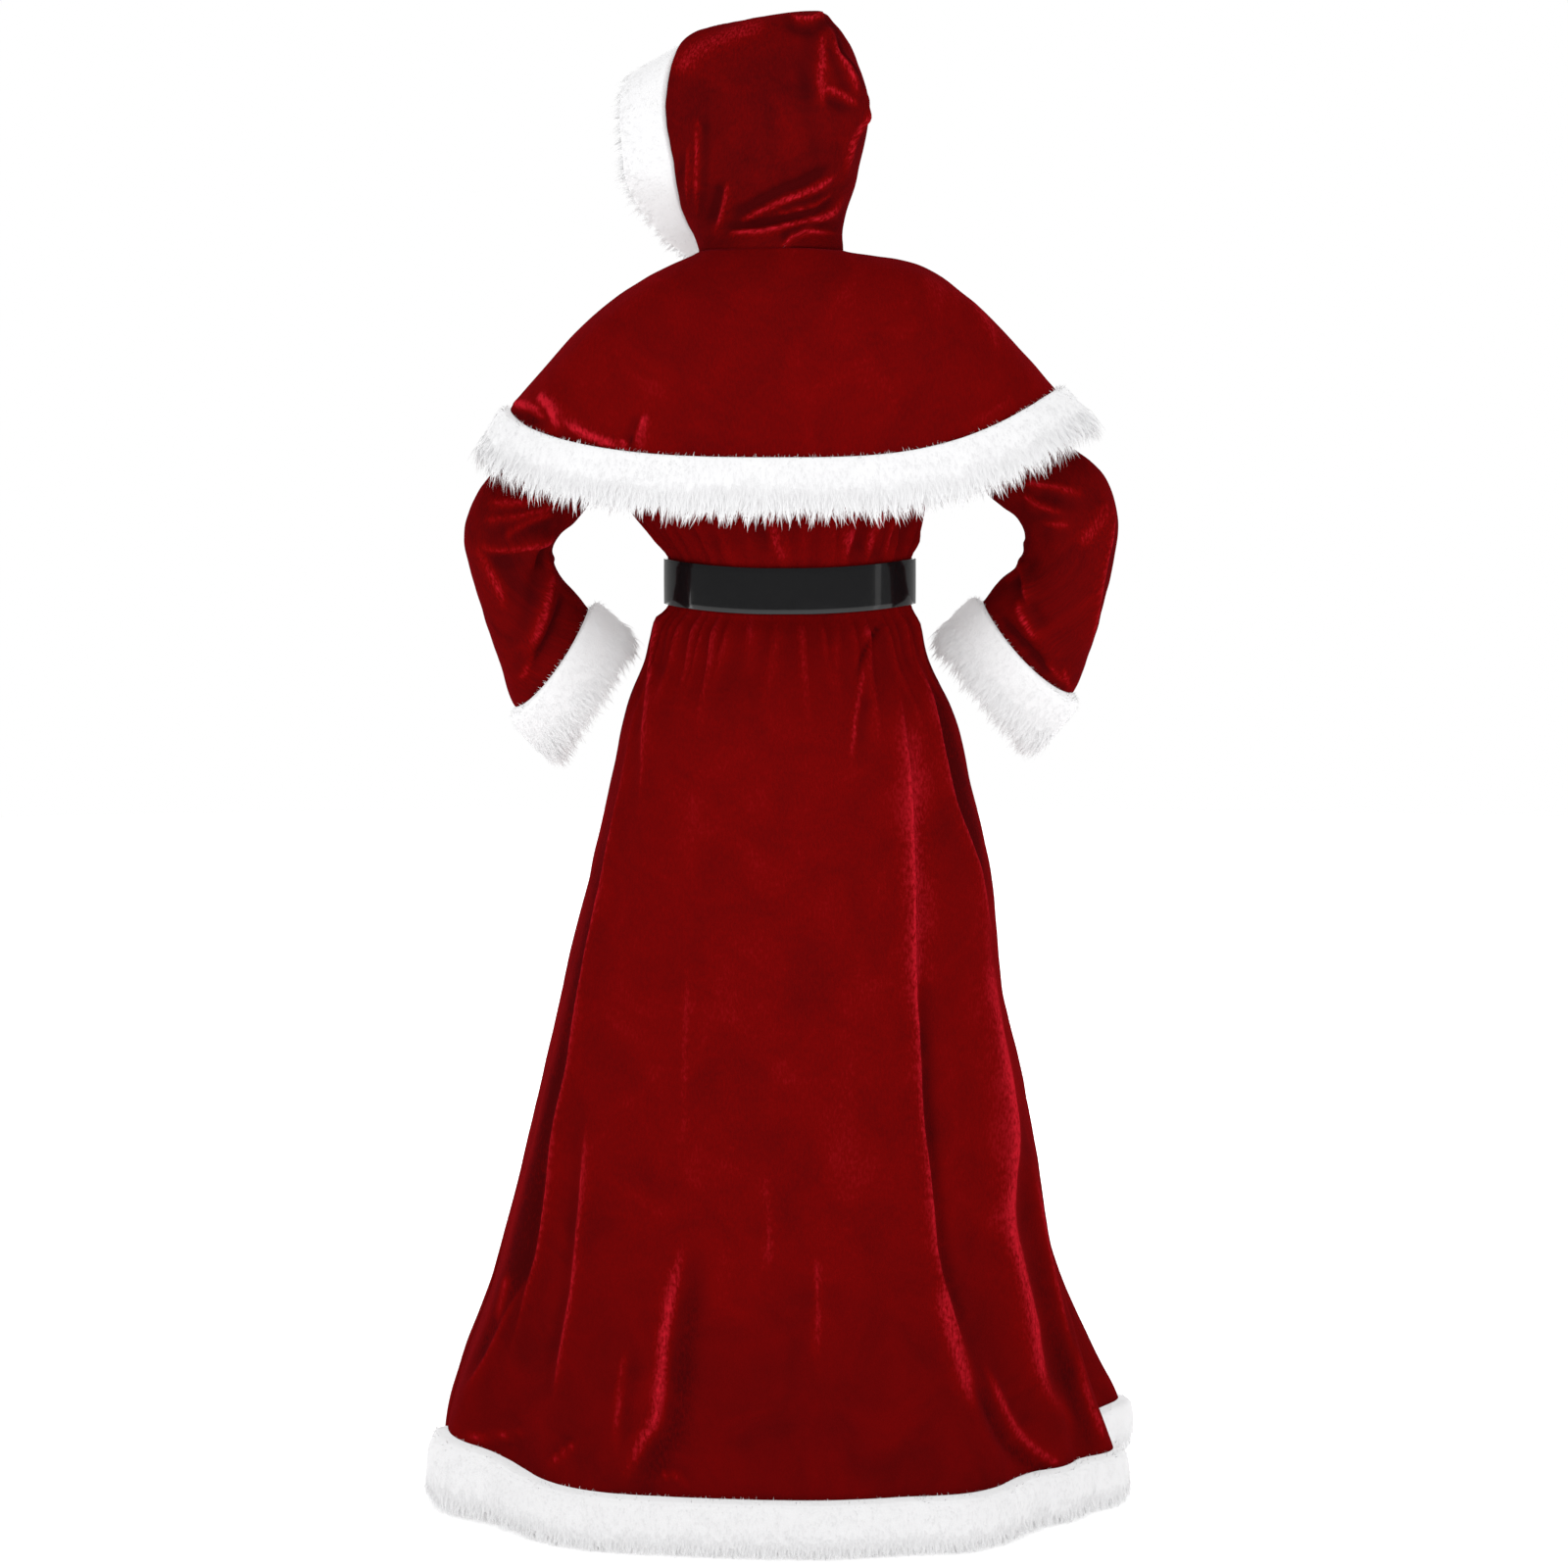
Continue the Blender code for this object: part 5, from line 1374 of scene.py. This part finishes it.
def named_attribute(nodes, name, kind):
    node = nodes.new("GeometryNodeInputNamedAttribute")
    node.data_type = kind
    node.inputs["Name"].default_value = name
    return node.outputs["Attribute"]


def make_fur_tree():
    """A tree that scatters locks over a body, and the identifiers of its inputs."""
    tree = bpy.data.node_groups.new("fur pile", "GeometryNodeTree")
    tree.interface.new_socket("Geometry", in_out="INPUT", socket_type="NodeSocketGeometry")
    tree.interface.new_socket("Geometry", in_out="OUTPUT", socket_type="NodeSocketGeometry")
    sockets = {
        "Lock": tree_socket(tree, "Lock", "NodeSocketObject"),
        "Spacing": tree_socket(tree, "Spacing", "NodeSocketFloat", 0.002),
        "Locks per Square Metre": tree_socket(tree, "Locks per Square Metre", "NodeSocketFloat", 1e5),
        "Seed": tree_socket(tree, "Seed", "NodeSocketInt", 1),
        "Material": tree_socket(tree, "Material", "NodeSocketMaterial"),
    }
    nodes, links = tree.nodes, tree.links
    inputs, outputs = nodes.new("NodeGroupInput"), nodes.new("NodeGroupOutput")
    scatter = nodes.new("GeometryNodeDistributePointsOnFaces")
    scatter.distribute_method = "POISSON"
    links.new(inputs.outputs["Geometry"], scatter.inputs["Mesh"])
    links.new(inputs.outputs["Spacing"], scatter.inputs["Distance Min"])
    links.new(inputs.outputs["Locks per Square Metre"], scatter.inputs["Density Max"])
    links.new(inputs.outputs["Seed"], scatter.inputs["Seed"])
    links.new(named_attribute(nodes, COVER, "FLOAT"), scatter.inputs["Density Factor"])
    lie = nodes.new("FunctionNodeAlignRotationToVector")
    lie.axis = "Z"
    links.new(named_attribute(nodes, COMB, "FLOAT_VECTOR"), lie.inputs["Vector"])
    face_out = nodes.new("FunctionNodeAlignRotationToVector")
    face_out.axis = "Y"
    face_out.pivot_axis = "Z"
    links.new(lie.outputs["Rotation"], face_out.inputs["Rotation"])
    links.new(scatter.outputs["Normal"], face_out.inputs["Vector"])
    stray = nodes.new("FunctionNodeRandomValue")
    stray.data_type = "FLOAT_VECTOR"
    set_inputs(stray, {"Min": STRAY_LEAST, "Max": STRAY_MOST})
    turn = nodes.new("FunctionNodeRotateRotation")
    turn.rotation_space = "LOCAL"
    to_rotation = nodes.new("FunctionNodeEulerToRotation")
    links.new(stray.outputs[0], to_rotation.inputs[0])
    links.new(face_out.outputs["Rotation"], turn.inputs["Rotation"])
    links.new(to_rotation.outputs[0], turn.inputs["Rotate By"])
    uneven = nodes.new("FunctionNodeRandomValue")
    uneven.data_type = "FLOAT_VECTOR"
    set_inputs(uneven, {"Min": SMALLEST_LOCK, "Max": LARGEST_LOCK, "Seed": LOCK_SIZE_SEED})
    scale = nodes.new("ShaderNodeVectorMath")
    scale.operation = "SCALE"
    links.new(uneven.outputs[0], scale.inputs[0])
    links.new(named_attribute(nodes, LOCK_LENGTH, "FLOAT"), scale.inputs["Scale"])
    place = nodes.new("GeometryNodeInstanceOnPoints")
    lock = nodes.new("GeometryNodeObjectInfo")
    links.new(inputs.outputs["Lock"], lock.inputs["Object"])
    links.new(scatter.outputs["Points"], place.inputs["Points"])
    links.new(lock.outputs["Geometry"], place.inputs["Instance"])
    links.new(turn.outputs["Rotation"], place.inputs["Rotation"])
    links.new(scale.outputs[0], place.inputs["Scale"])
    join = nodes.new("GeometryNodeJoinGeometry")
    links.new(place.outputs["Instances"], join.inputs["Geometry"])
    links.new(inputs.outputs["Geometry"], join.inputs["Geometry"])
    realize = nodes.new("GeometryNodeRealizeInstances")
    links.new(join.outputs["Geometry"], realize.inputs["Geometry"])
    finish = nodes.new("GeometryNodeSetMaterial")
    links.new(realize.outputs["Geometry"], finish.inputs["Geometry"])
    links.new(inputs.outputs["Material"], finish.inputs["Material"])
    links.new(finish.outputs["Geometry"], outputs.inputs["Geometry"])
    return tree, sockets


fur_tree, fur_sockets = make_fur_tree()
print("fur tree:", len(fur_tree.nodes), "nodes")

# %% [markdown]
# The fur's own colour is a pale grey, which the lamps and a painted glow bring up to white. Its
# roots are painted a little darker, as shade where light gets lost between the fibres, and there
# are faint clouds where the pile parts. The small constant glow is painted light: it stands for
# the light that real fibres pass on to each other, and it lifts the shade between the locks.

# %% Fur material
FUR_ROOT_SHADE = (0.475, 0.471, 0.479)
FUR_TIP = (0.545, 0.545, 0.552)
FUR_GLOW = 0.26
ROOT_AT, TIP_AT = 0.12, 0.85
PARTING_SHARE = 0.5
PARTING_NOISE = {"Scale": 55.0, "Detail": 3.0}
FLUFF_NOISE = {"Scale": 620.0, "Detail": 3.0}


def make_fur_material():
    material, tree, surface = new_material("white faux fur")
    tip = add_node(tree, "ShaderNodeAttribute", {}, {})
    tip.attribute_name = TIP
    place = add_node(tree, "ShaderNodeTexCoord", {}, {}).outputs["Object"]
    parting = add_node(tree, "ShaderNodeTexNoise", PARTING_NOISE, {"Vector": place})
    shade = add_scaled(tree, parting.outputs["Fac"], PARTING_SHARE, tip.outputs["Fac"])
    whites = add_ramp(tree, shade, [(ROOT_AT, FUR_ROOT_SHADE), (TIP_AT, FUR_TIP)])
    tree.links.new(whites, surface.inputs["Base Color"])
    fluff = add_node(tree, "ShaderNodeTexNoise", FLUFF_NOISE, {"Vector": place})
    add_bump(tree, surface, fluff.outputs["Fac"], 0.22, 0.0012)
    # The emission is a painted glow, painted light rather than a lamp.
    set_inputs(surface, {"Roughness": 0.85, "Specular IOR Level": 0.2, "Emission Color": WHITE,
                         "Emission Strength": FUR_GLOW, "Sheen Weight": 0.25, "Sheen Roughness": 0.5})
    return material


white_fur = make_fur_material()
print("material:", white_fur.name)

# %% [markdown]
# A fur trim's body is a band with a plump section: thin where it is sewn on, full in the middle,
# and rounded over its lower edge. The section is a smooth closed curve through a few points, each
# a share of the trim's width and pile, and it is carried along a row of stops. Each trim only has
# to say where a point of its section goes.

# %% Fur trim maker
SECTION_STEPS = 3
SECTION_START = 0.02
BODY_SHARE = 0.80
BEND_FROM = 0.40
COMB_STEP = 0.004
FALLS = (-0.25, 1.05)
LIFTS = (0.85, 0.30)
FALL_SHARE = 0.22
LIFT_SHARE = 0.30
SWIRL = 0.24
SWIRL_SIZE = 0.035
BODY_UNEVEN = 0.10
BODY_RIPPLE = 0.05
BODY_TIP = 0.30
SOFT_AWAY = 1.2
SOFT_SHARE = 0.92
OWN_SHARE = 0.14
LOCKS_PER_SPACING = 1.6
SectionPoint = namedtuple("SectionPoint", "along out")


def fur_section(inside):
    """The section's points, as shares of the trim's width and of its pile."""
    points = [
        SectionPoint(SECTION_START, 0.45), SectionPoint(0.10, 1.00), SectionPoint(0.50, 1.15),
        SectionPoint(0.88, 0.95), SectionPoint(1.00, 0.30), SectionPoint(1.00, -0.30),
        SectionPoint(0.80, -inside), SectionPoint(0.12, -inside), SectionPoint(SECTION_START, -0.30),
    ]
    table = np.array(points)
    curve = []
    for index in range(len(table)):
        before, start, stop, after = (table[(index + step) % len(table)] for step in (-1, 0, 1, 2))
        for step in range(SECTION_STEPS):
            curve.append(between(before, start, stop, after, step / SECTION_STEPS))
    return np.array(curve)


def fur_faces(rows, points, closed):
    faces, _, _ = grid_faces(rows + 1 if closed else rows, points, True)
    faces = faces % (rows * points)
    caps = [] if closed else [list(range(points)), list(range((rows - 1) * points, rows * points))[::-1]]
    return faces.tolist() + caps


def set_points(mesh, name, kind, field, values):
    layer = mesh.attributes.new(name, kind, "POINT")
    layer.data.foreach_set(field, np.asarray(values, dtype=np.float32).reshape(-1))


Trim = namedtuple("Trim", "width pile inside reach length tips spacing drop closed seed")


def comb_directions(place, stops, along, out, trim, facing):
    """Which way the locks lie: out of the body at the top, then down over the lower edge."""
    down = unit(place(stops, along + COMB_STEP, out) - place(stops, along, out))
    part = np.clip(along / trim.width, 0.0, 1.0)
    fall = mix(*FALLS, ease(part / FALL_SHARE))[..., None]
    lift = mix(*LIFTS, ease(part / LIFT_SHARE))[..., None]
    spots = facing * 0.02 + down * 0.01 + place(stops, along, out)
    swirl = np.stack([ripple(spots, SWIRL_SIZE, trim.seed + axis) for axis in range(3)], axis=-1)
    pull = np.array((0.0, 0.0, -trim.drop))
    return unit(facing * lift + down * fall + SWIRL * swirl + pull)


def add_fur(name, place, stops, trim):
    """A trim's body with its locks, as one plain mesh."""
    section = fur_section(trim.inside)
    stops = np.asarray(stops)[:, None]
    uneven = 1.0 + BODY_UNEVEN * ripple(place(stops, 0.5 * trim.width, 0.0), BODY_RIPPLE, trim.seed + 9)
    along = section[None, :, 0] * trim.width * np.ones_like(stops)
    out = section[None, :, 1] * trim.pile * BODY_SHARE * uneven
    kept = (trim.reach - BEND_FROM) / (1.0 - BEND_FROM)
    along = np.where(along > BEND_FROM * trim.width, mix(BEND_FROM * trim.width, along, kept), along)
    grid = place(stops, along, out)
    facing = outward(grid, closed=True)
    centre = grid.mean(axis=1, keepdims=True)
    if ((grid - centre) * facing).sum() < 0:
        facing = -facing
    rows, points = grid.shape[:2]
    mesh = bpy.data.meshes.new(name)
    mesh.from_pydata(grid.reshape(-1, 3).tolist(), [], fur_faces(rows, points, trim.closed))
    mesh.shade_smooth()
    body = bpy.data.objects.new(name, mesh)
    bpy.context.collection.objects.link(body)
    part = along / trim.width
    outer = ease((section[None, :, 1] + 0.35) / 0.7) * np.ones_like(stops)
    low_edge = ease((part / trim.reach - 0.50) / 0.42)
    length = trim.length * mix(0.60, trim.tips, low_edge) * mix(0.7, 1.0, outer)
    length = length * mix(0.55, 1.0, ease(part / FALL_SHARE))
    cover = mix(0.20, mix(0.42, 1.0, low_edge), outer)
    set_points(mesh, COMB, "FLOAT_VECTOR", "vector", comb_directions(place, stops, along, out, trim, facing))
    set_points(mesh, LOCK_LENGTH, "FLOAT", "value", length)
    set_points(mesh, COVER, "FLOAT", "value", cover)
    set_points(mesh, TIP, "FLOAT", "value", np.full(grid.shape[:2], BODY_TIP))
    away = unit(place(stops, along, out + COMB_STEP) - place(stops, along, out))
    set_points(mesh, SOFT, "FLOAT_VECTOR", "vector", unit(facing + SOFT_AWAY * away * outer[..., None]))
    return grow_fur(body, trim)


def grow_fur(body, trim):
    """Run the fur tree on a body and keep its result as the piece's own mesh."""
    if flipped(body.data):
        body.data.flip_normals()
    modifier = body.modifiers.new("fur", "NODES")
    modifier.node_group = fur_tree
    spacing = trim.spacing * 1.0
    modifier[fur_sockets["Lock"]] = fur_lock
    modifier[fur_sockets["Spacing"]] = spacing
    modifier[fur_sockets["Locks per Square Metre"]] = LOCKS_PER_SPACING / spacing ** 2
    modifier[fur_sockets["Seed"]] = trim.seed
    modifier[fur_sockets["Material"]] = white_fur
    scene_state = bpy.context.evaluated_depsgraph_get()
    grown = bpy.data.meshes.new_from_object(body.evaluated_get(scene_state), depsgraph=scene_state)
    plain = body.data
    body.modifiers.clear()
    body.data = grown
    bpy.data.meshes.remove(plain)
    grown.name = body.name
    soften(grown)
    print(body.name, sum(len(face.vertices) - 2 for face in grown.polygons), "triangles")
    return body


def flipped(mesh):
    """True where a closed mesh's faces point inwards, by the sign of its volume."""
    volume = 0.0
    for face in mesh.polygons:
        corners = [mesh.vertices[index].co for index in face.vertices]
        for index in range(1, len(corners) - 1):
            volume += corners[0].dot(corners[index].cross(corners[index + 1]))
    return volume < 0.0


def soften(mesh):
    """Shade the locks mostly as the surface that they grow from, so that the pile looks soft."""
    count = len(mesh.vertices)
    own = np.empty(count * 3, dtype=np.float32)
    mesh.vertices.foreach_get("normal", own)
    own = own.reshape(-1, 3)
    soft = np.zeros(count * 3, dtype=np.float32)
    mesh.attributes[SOFT].data.foreach_get("vector", soft)
    blended = unit(SOFT_SHARE * soft.reshape(-1, 3) + OWN_SHARE * own)
    mesh.shade_smooth()
    mesh.normals_split_custom_set_from_vertices(blended.tolist())


print("fur maker ready")

# %% [markdown]
# The hem's fur stands on the floor under the skirt's edge, in two strips as the skirt has two
# panels. Its top is sewn on higher at the left rear and lower at the left front, and none of its
# locks goes through the floor.

# %% Hem fur
HEM_FUR_WIDTH = 0.058
HEM_FUR_STOPS = 118
HEM_TRIM = Trim(width=HEM_FUR_WIDTH, pile=0.018, inside=0.6, reach=0.86, length=0.0120, tips=1.4,
                spacing=0.0025, drop=0.15, closed=False, seed=71)
HEM_LIFT = 0.026
HEM_LIFT_ANGLE = 18.0
HEM_LIFT_RISE = 10.0
HEM_LIFT_SPREAD = 26.0


def skirt_surface(angle, z):
    return ring_points(SKIRT, angle, z, fold_depth(angle, z))


def hem_place(angle, along, out):
    angle, along, out = np.broadcast_arrays(angle, along, out)
    level = HEM_Z + 0 * angle
    around = skirt_surface(angle + 1.0, level) - skirt_surface(angle - 1.0, level)
    away = unit(np.stack([around[..., 1], -around[..., 0], np.zeros(angle.shape)], axis=-1))
    past = angle % 360.0 - HEM_LIFT_ANGLE
    lift = HEM_LIFT * ease(1.0 + past / HEM_LIFT_RISE)
    lift = lift * np.exp(-(np.maximum(past, 0.0) / HEM_LIFT_SPREAD) ** 2)
    along = along + (hem_drop(angle) - lift) * np.clip(1.0 - along / HEM_FUR_WIDTH, 0.0, 1.0)
    return skirt_surface(angle, HEM_Z - along) + away * out[..., None]


def keep_off_floor(piece, lowest):
    """Bend locks that would go through the floor so that they lie on it."""
    for vertex in piece.data.vertices:
        vertex.co.z = max(vertex.co.z, lowest)


hem_back = add_fur("hem_fur_back_pile", hem_place, np.linspace(0.03, 179.97, HEM_FUR_STOPS), HEM_TRIM)
hem_front = add_fur(
    "hem_fur_front_pile", hem_place, np.linspace(180.03, 359.97, HEM_FUR_STOPS),
    HEM_TRIM._replace(seed=75, spacing=0.0032))
keep_off_floor(hem_back, cad_low.z)
keep_off_floor(hem_front, cad_low.z)
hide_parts("hem_fur_back")
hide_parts("hem_fur_front")

# %% [markdown]
# The cape's fur is one strip round its whole red hem, from one side of the front opening to the
# other. It hangs free, so its lower edge is the shaggiest of all.

# %% Cape fur
CAPE_FUR_WIDTH = 0.066
CAPE_FUR_STOPS = 230
CAPE_TRIM = Trim(width=CAPE_FUR_WIDTH, pile=0.012, inside=0.35, reach=0.72, length=0.0140, tips=1.75,
                 spacing=0.0022, drop=0.35, closed=False, seed=81)


def cape_away(angle):
    """The cape's outward direction beside its fur."""
    down = 1.12 + 0 * angle
    around = cape_points(angle + 1.0, down) - cape_points(angle - 1.0, down)
    fall = cape_points(angle, down + 0.02) - cape_points(angle, down - 0.02)
    return unit(np.cross(fall, around))


def cape_place(angle, along, out):
    angle, along, out = np.broadcast_arrays(angle, along, out)
    down = 1.0 + (CAPE[-1].down - 1.0) * along / CAPE_FUR_WIDTH
    return cape_points(angle, down) + cape_away(angle) * out[..., None]


cape_end = float(cape_gap(270.0, np.array(1.0)))
cape_stops = np.linspace(cape_end - 90.0, 270.0 - cape_end, CAPE_FUR_STOPS)
cape_fur = add_fur("cape_hem_fur_pile", cape_place, cape_stops, CAPE_TRIM)
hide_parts("cape_hem_fur")

# %% [markdown]
# The cuffs are fat closed rings of fur that carry on the sleeve's tube past the velvet's end. At
# the back of the sleeve they start a little later, where the velvet goes on under them.

# %% Cuff fur
CUFF_FUR_WIDTH = 0.068
CUFF_STOPS = 96
CUFF_TRIM = Trim(width=CUFF_FUR_WIDTH, pile=0.017, inside=0.6, reach=0.84, length=0.0140, tips=1.6,
                 spacing=0.0022, drop=0.25, closed=True, seed=91)
CUFF_SET_BACK = 0.012


def cuff_place(stations, side):
    def place(turn, along, out):
        turn, along, out = np.broadcast_arrays(turn, along, out)
        behind = CUFF_SET_BACK * np.clip(np.sin(np.radians(turn)), 0.0, 1.0) ** 1.5
        along = along + behind * np.clip(1.0 - along / CUFF_FUR_WIDTH, 0.0, 1.0)
        station = 1.0 + (stations[-1].along - 1.0) * along / CUFF_FUR_WIDTH
        return sleeve_points(stations, side, station, turn, out)
    return place


cuff_turns = np.linspace(0.0, 360.0, CUFF_STOPS, endpoint=False)
cuff_left = add_fur("cuff_fur_left_pile", cuff_place(LEFT_SLEEVE, 1.0), cuff_turns, CUFF_TRIM)
cuff_right = add_fur(
    "cuff_fur_right_pile", cuff_place(RIGHT_SLEEVE, -1.0), cuff_turns, CUFF_TRIM._replace(seed=95))
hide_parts("cuff_fur_left")
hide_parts("cuff_fur_right")

# %% [markdown]
# The hood's fur frames the face opening. It stands forward of the velvet's edge and drops a
# little, so that from behind only its outer side shows past the hood.

# %% Hood fur
HOOD_FUR_WIDTH = 0.068
HOOD_FUR_DROP = 0.78
HOOD_FUR_HANG = 0.45
HOOD_FUR_END = 0.985
HOOD_FUR_TURNS = (20.0, 55.0)
HOOD_FUR_STOPS = 140
HOOD_TRIM = Trim(width=HOOD_FUR_WIDTH, pile=0.016, inside=0.6, reach=0.86, length=0.0130, tips=1.5,
                 spacing=0.0023, drop=0.25, closed=False, seed=101)


def hood_edge(stop, set_back=0.0):
    rise = 1.0 - np.abs(stop) ** 1.25
    return hood_points(np.where(stop < 0, 1.0, -1.0), rise, 1.0 + 0 * stop, set_back)


def hood_fur_place(stop, along, out):
    stop, along, out = np.broadcast_arrays(stop, along, out)
    tangent = unit(hood_edge(np.minimum(stop + 0.03, 1.0)) - hood_edge(np.maximum(stop - 0.03, -1.0)))
    turn = np.radians(mix(*HOOD_FUR_TURNS, ease((1.0 - np.abs(stop)) * 3.0)))
    fall = HOOD_FUR_DROP * (1.0 - np.abs(stop)) ** 1.5 + HOOD_FUR_HANG * np.abs(stop) ** 5
    forward = unit(np.stack([np.sin(turn), -np.cos(turn), 0.10 - fall], axis=-1))
    lean = (forward * tangent).sum(-1, keepdims=True)
    forward = unit(forward - tangent * lean * 0.6)
    away = unit(np.cross(forward, tangent))
    edge = mix(hood_edge(stop, 1.0), hood_edge(stop), np.clip(along / HOOD_FUR_WIDTH, 0.0, 1.0)[..., None])
    return edge + forward * along[..., None] + away * out[..., None]


hood_fur = add_fur(
    "hood_fur_pile", hood_fur_place, np.linspace(-HOOD_FUR_END, HOOD_FUR_END, HOOD_FUR_STOPS), HOOD_TRIM)
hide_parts("hood_fur")

# %% [markdown]
# The belt is imitation patent leather: a dark glossy skin with very slight waves, so the lamps
# show in it as soft bands. The strap laps over itself in front.

# %% Patent belt
BELT_WIDTH = 0.050
BELT_WALL = 0.003
BELT_CLEAR = 0.0010 + 0.0012 + 0.0013 + BELT_WALL / 2
BELT_LAP = BELT_WALL + 2 * SEAM
BELT_TAIL_ANGLE = 34.0
BELT_RISE_ANGLE = 21.0
BELT_COLUMNS = 240
BELT_ROWS = 9
BELT_CROWN = 0.0001
BELT_SHELL_SHARE = 0.85
BELT_EDGE = 0.0004
PATENT_BLACK = (0.004, 0.004, 0.0045, 1.0)


def make_patent():
    material, tree, surface = new_material("black patent")
    place = add_node(tree, "ShaderNodeTexCoord", {}, {}).outputs["Object"]
    waves = add_node(tree, "ShaderNodeTexNoise", {"Scale": 26.0, "Detail": 2.0}, {"Vector": place})
    add_bump(tree, surface, waves.outputs["Fac"], 0.25, 0.002)
    specks = add_node(tree, "ShaderNodeTexNoise", {"Scale": 420.0}, {"Vector": place})
    smear = add_node(tree, "ShaderNodeMapRange", {"To Min": 0.10, "To Max": 0.22},
                     {"Value": specks.outputs["Fac"]})
    tree.links.new(smear.outputs["Result"], surface.inputs["Roughness"])
    set_inputs(surface, {"Base Color": PATENT_BLACK, "Specular IOR Level": 0.20,
                         "Coat Weight": 0.3, "Coat Roughness": 0.04})
    return material


def belt_grid():
    part = np.linspace(0.0, 1.0, BELT_COLUMNS)[None]
    height = np.linspace(0.5, -0.5, BELT_ROWS)[:, None]
    gone = (360.0 + BELT_TAIL_ANGLE) * part
    over = ease((gone - 360.0 + BELT_RISE_ANGLE) / BELT_RISE_ANGLE)
    crown = BELT_CROWN * (1.0 - (2.0 * height) ** 2)
    angle = 270.0 - BELT_TAIL_ANGLE / 2 + gone
    grid = ring_points(BODICE, angle, WAIST_Z + 0 * height, BELT_CLEAR + BELT_LAP * over + crown)
    grid[..., 2] = WAIST_Z + height * BELT_WIDTH
    return sag_waist(grid)


patent = make_patent()
belt = new_grid_object("belt_strap_patent", belt_grid(), False)
belt.data.materials.append(patent)
belt_wall = belt.modifiers.new("wall", "SOLIDIFY")
belt_wall.thickness = BELT_WALL * BELT_SHELL_SHARE
belt_wall.offset = 0.0
belt_edge = belt.modifiers.new("edge", "BEVEL")
belt_edge.width = BELT_EDGE
belt_edge.segments = 2
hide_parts("belt_strap")
print("belt:", len(belt.data.polygons), "faces")

# %% [markdown]
# The buckle and the neck clasp stay as the solids made them. Plain metal of this price has a
# soft polish with fine scratches one way.

# %% Plain metal
BRUSHED = (60.0, 900.0, 900.0)
METAL_NODES = ("belt_buckle_frame", "belt_buckle_prong", "cape_neck_clasp")


def make_metal():
    material, tree, surface = new_material("plain metal")
    set_inputs(surface, {"Base Color": (0.78, 0.76, 0.72, 1.0), "Metallic": 1.0})
    places = add_node(tree, "ShaderNodeTexCoord", {}, {})
    brush = add_node(tree, "ShaderNodeMapping", {"Scale": BRUSHED}, {"Vector": places.outputs["Object"]})
    scratches = add_node(tree, "ShaderNodeTexNoise", {"Scale": 1.0, "Detail": 4.0},
                         {"Vector": brush.outputs["Vector"]})
    polish = add_node(tree, "ShaderNodeMapRange", {"To Min": 0.16, "To Max": 0.42},
                      {"Value": scratches.outputs["Fac"]})
    tree.links.new(polish.outputs["Result"], surface.inputs["Roughness"])
    add_bump(tree, surface, scratches.outputs["Fac"], 0.15, 0.0003)
    return material


metal = make_metal()
for name in METAL_NODES:
    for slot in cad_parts[name].material_slots:
        slot.material = metal
print("metal on", len(METAL_NODES), "nodes")

# %% [markdown]
# Last, every piece is tied to the one body. The table keeps the cuts of the cloth parts: width and
# length of the cloth before it was gathered or draped, and its flat area where the cut isn't a
# rectangle. They are estimates from how such panels are cut, within about 17 percent of the
# surface that is here.

# %% Cuts and the body
Cut = namedtuple("Cut", "piece width length area held on")
CUTS = [
    Cut(skirt_back, 1.20, 0.98, 0.78, "gathered", "bodice_back_velvet"),
    Cut(skirt_front, 1.15, 0.98, 0.74, "gathered", "bodice_front_velvet"),
    Cut(bodice_back, 0.46, 0.38, 0.13, "gathered", "cape_back_velvet"),
    Cut(bodice_front, 0.46, 0.38, 0.13, "gathered", "belt_strap_patent"),
    Cut(sleeve_left, 0.40, 0.42, 0.13, "draped", "bodice_back_velvet"),
    Cut(sleeve_right, 0.40, 0.42, 0.13, "draped", "bodice_back_velvet"),
    Cut(cape_back, 0.78, 0.32, 0.17, "draped", "bodice_back_velvet"),
    Cut(cape_right, 0.42, 0.32, 0.09, "draped", "bodice_front_velvet"),
    Cut(cape_left, 0.42, 0.32, 0.09, "draped", "bodice_front_velvet"),
    Cut(hood_left, 0.30, 0.36, 0.08, "draped", "cape_back_velvet"),
    Cut(hood_right, 0.30, 0.36, 0.08, "draped", "cape_back_velvet"),
]
FUR_PIECES = (hem_back, hem_front, cape_fur, cuff_left, cuff_right, hood_fur)

for cut in CUTS:
    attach(cut.piece, "root")
for piece in FUR_PIECES:
    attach(piece, "root")
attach(belt, "root")
bpy.data.objects.remove(fur_lock)
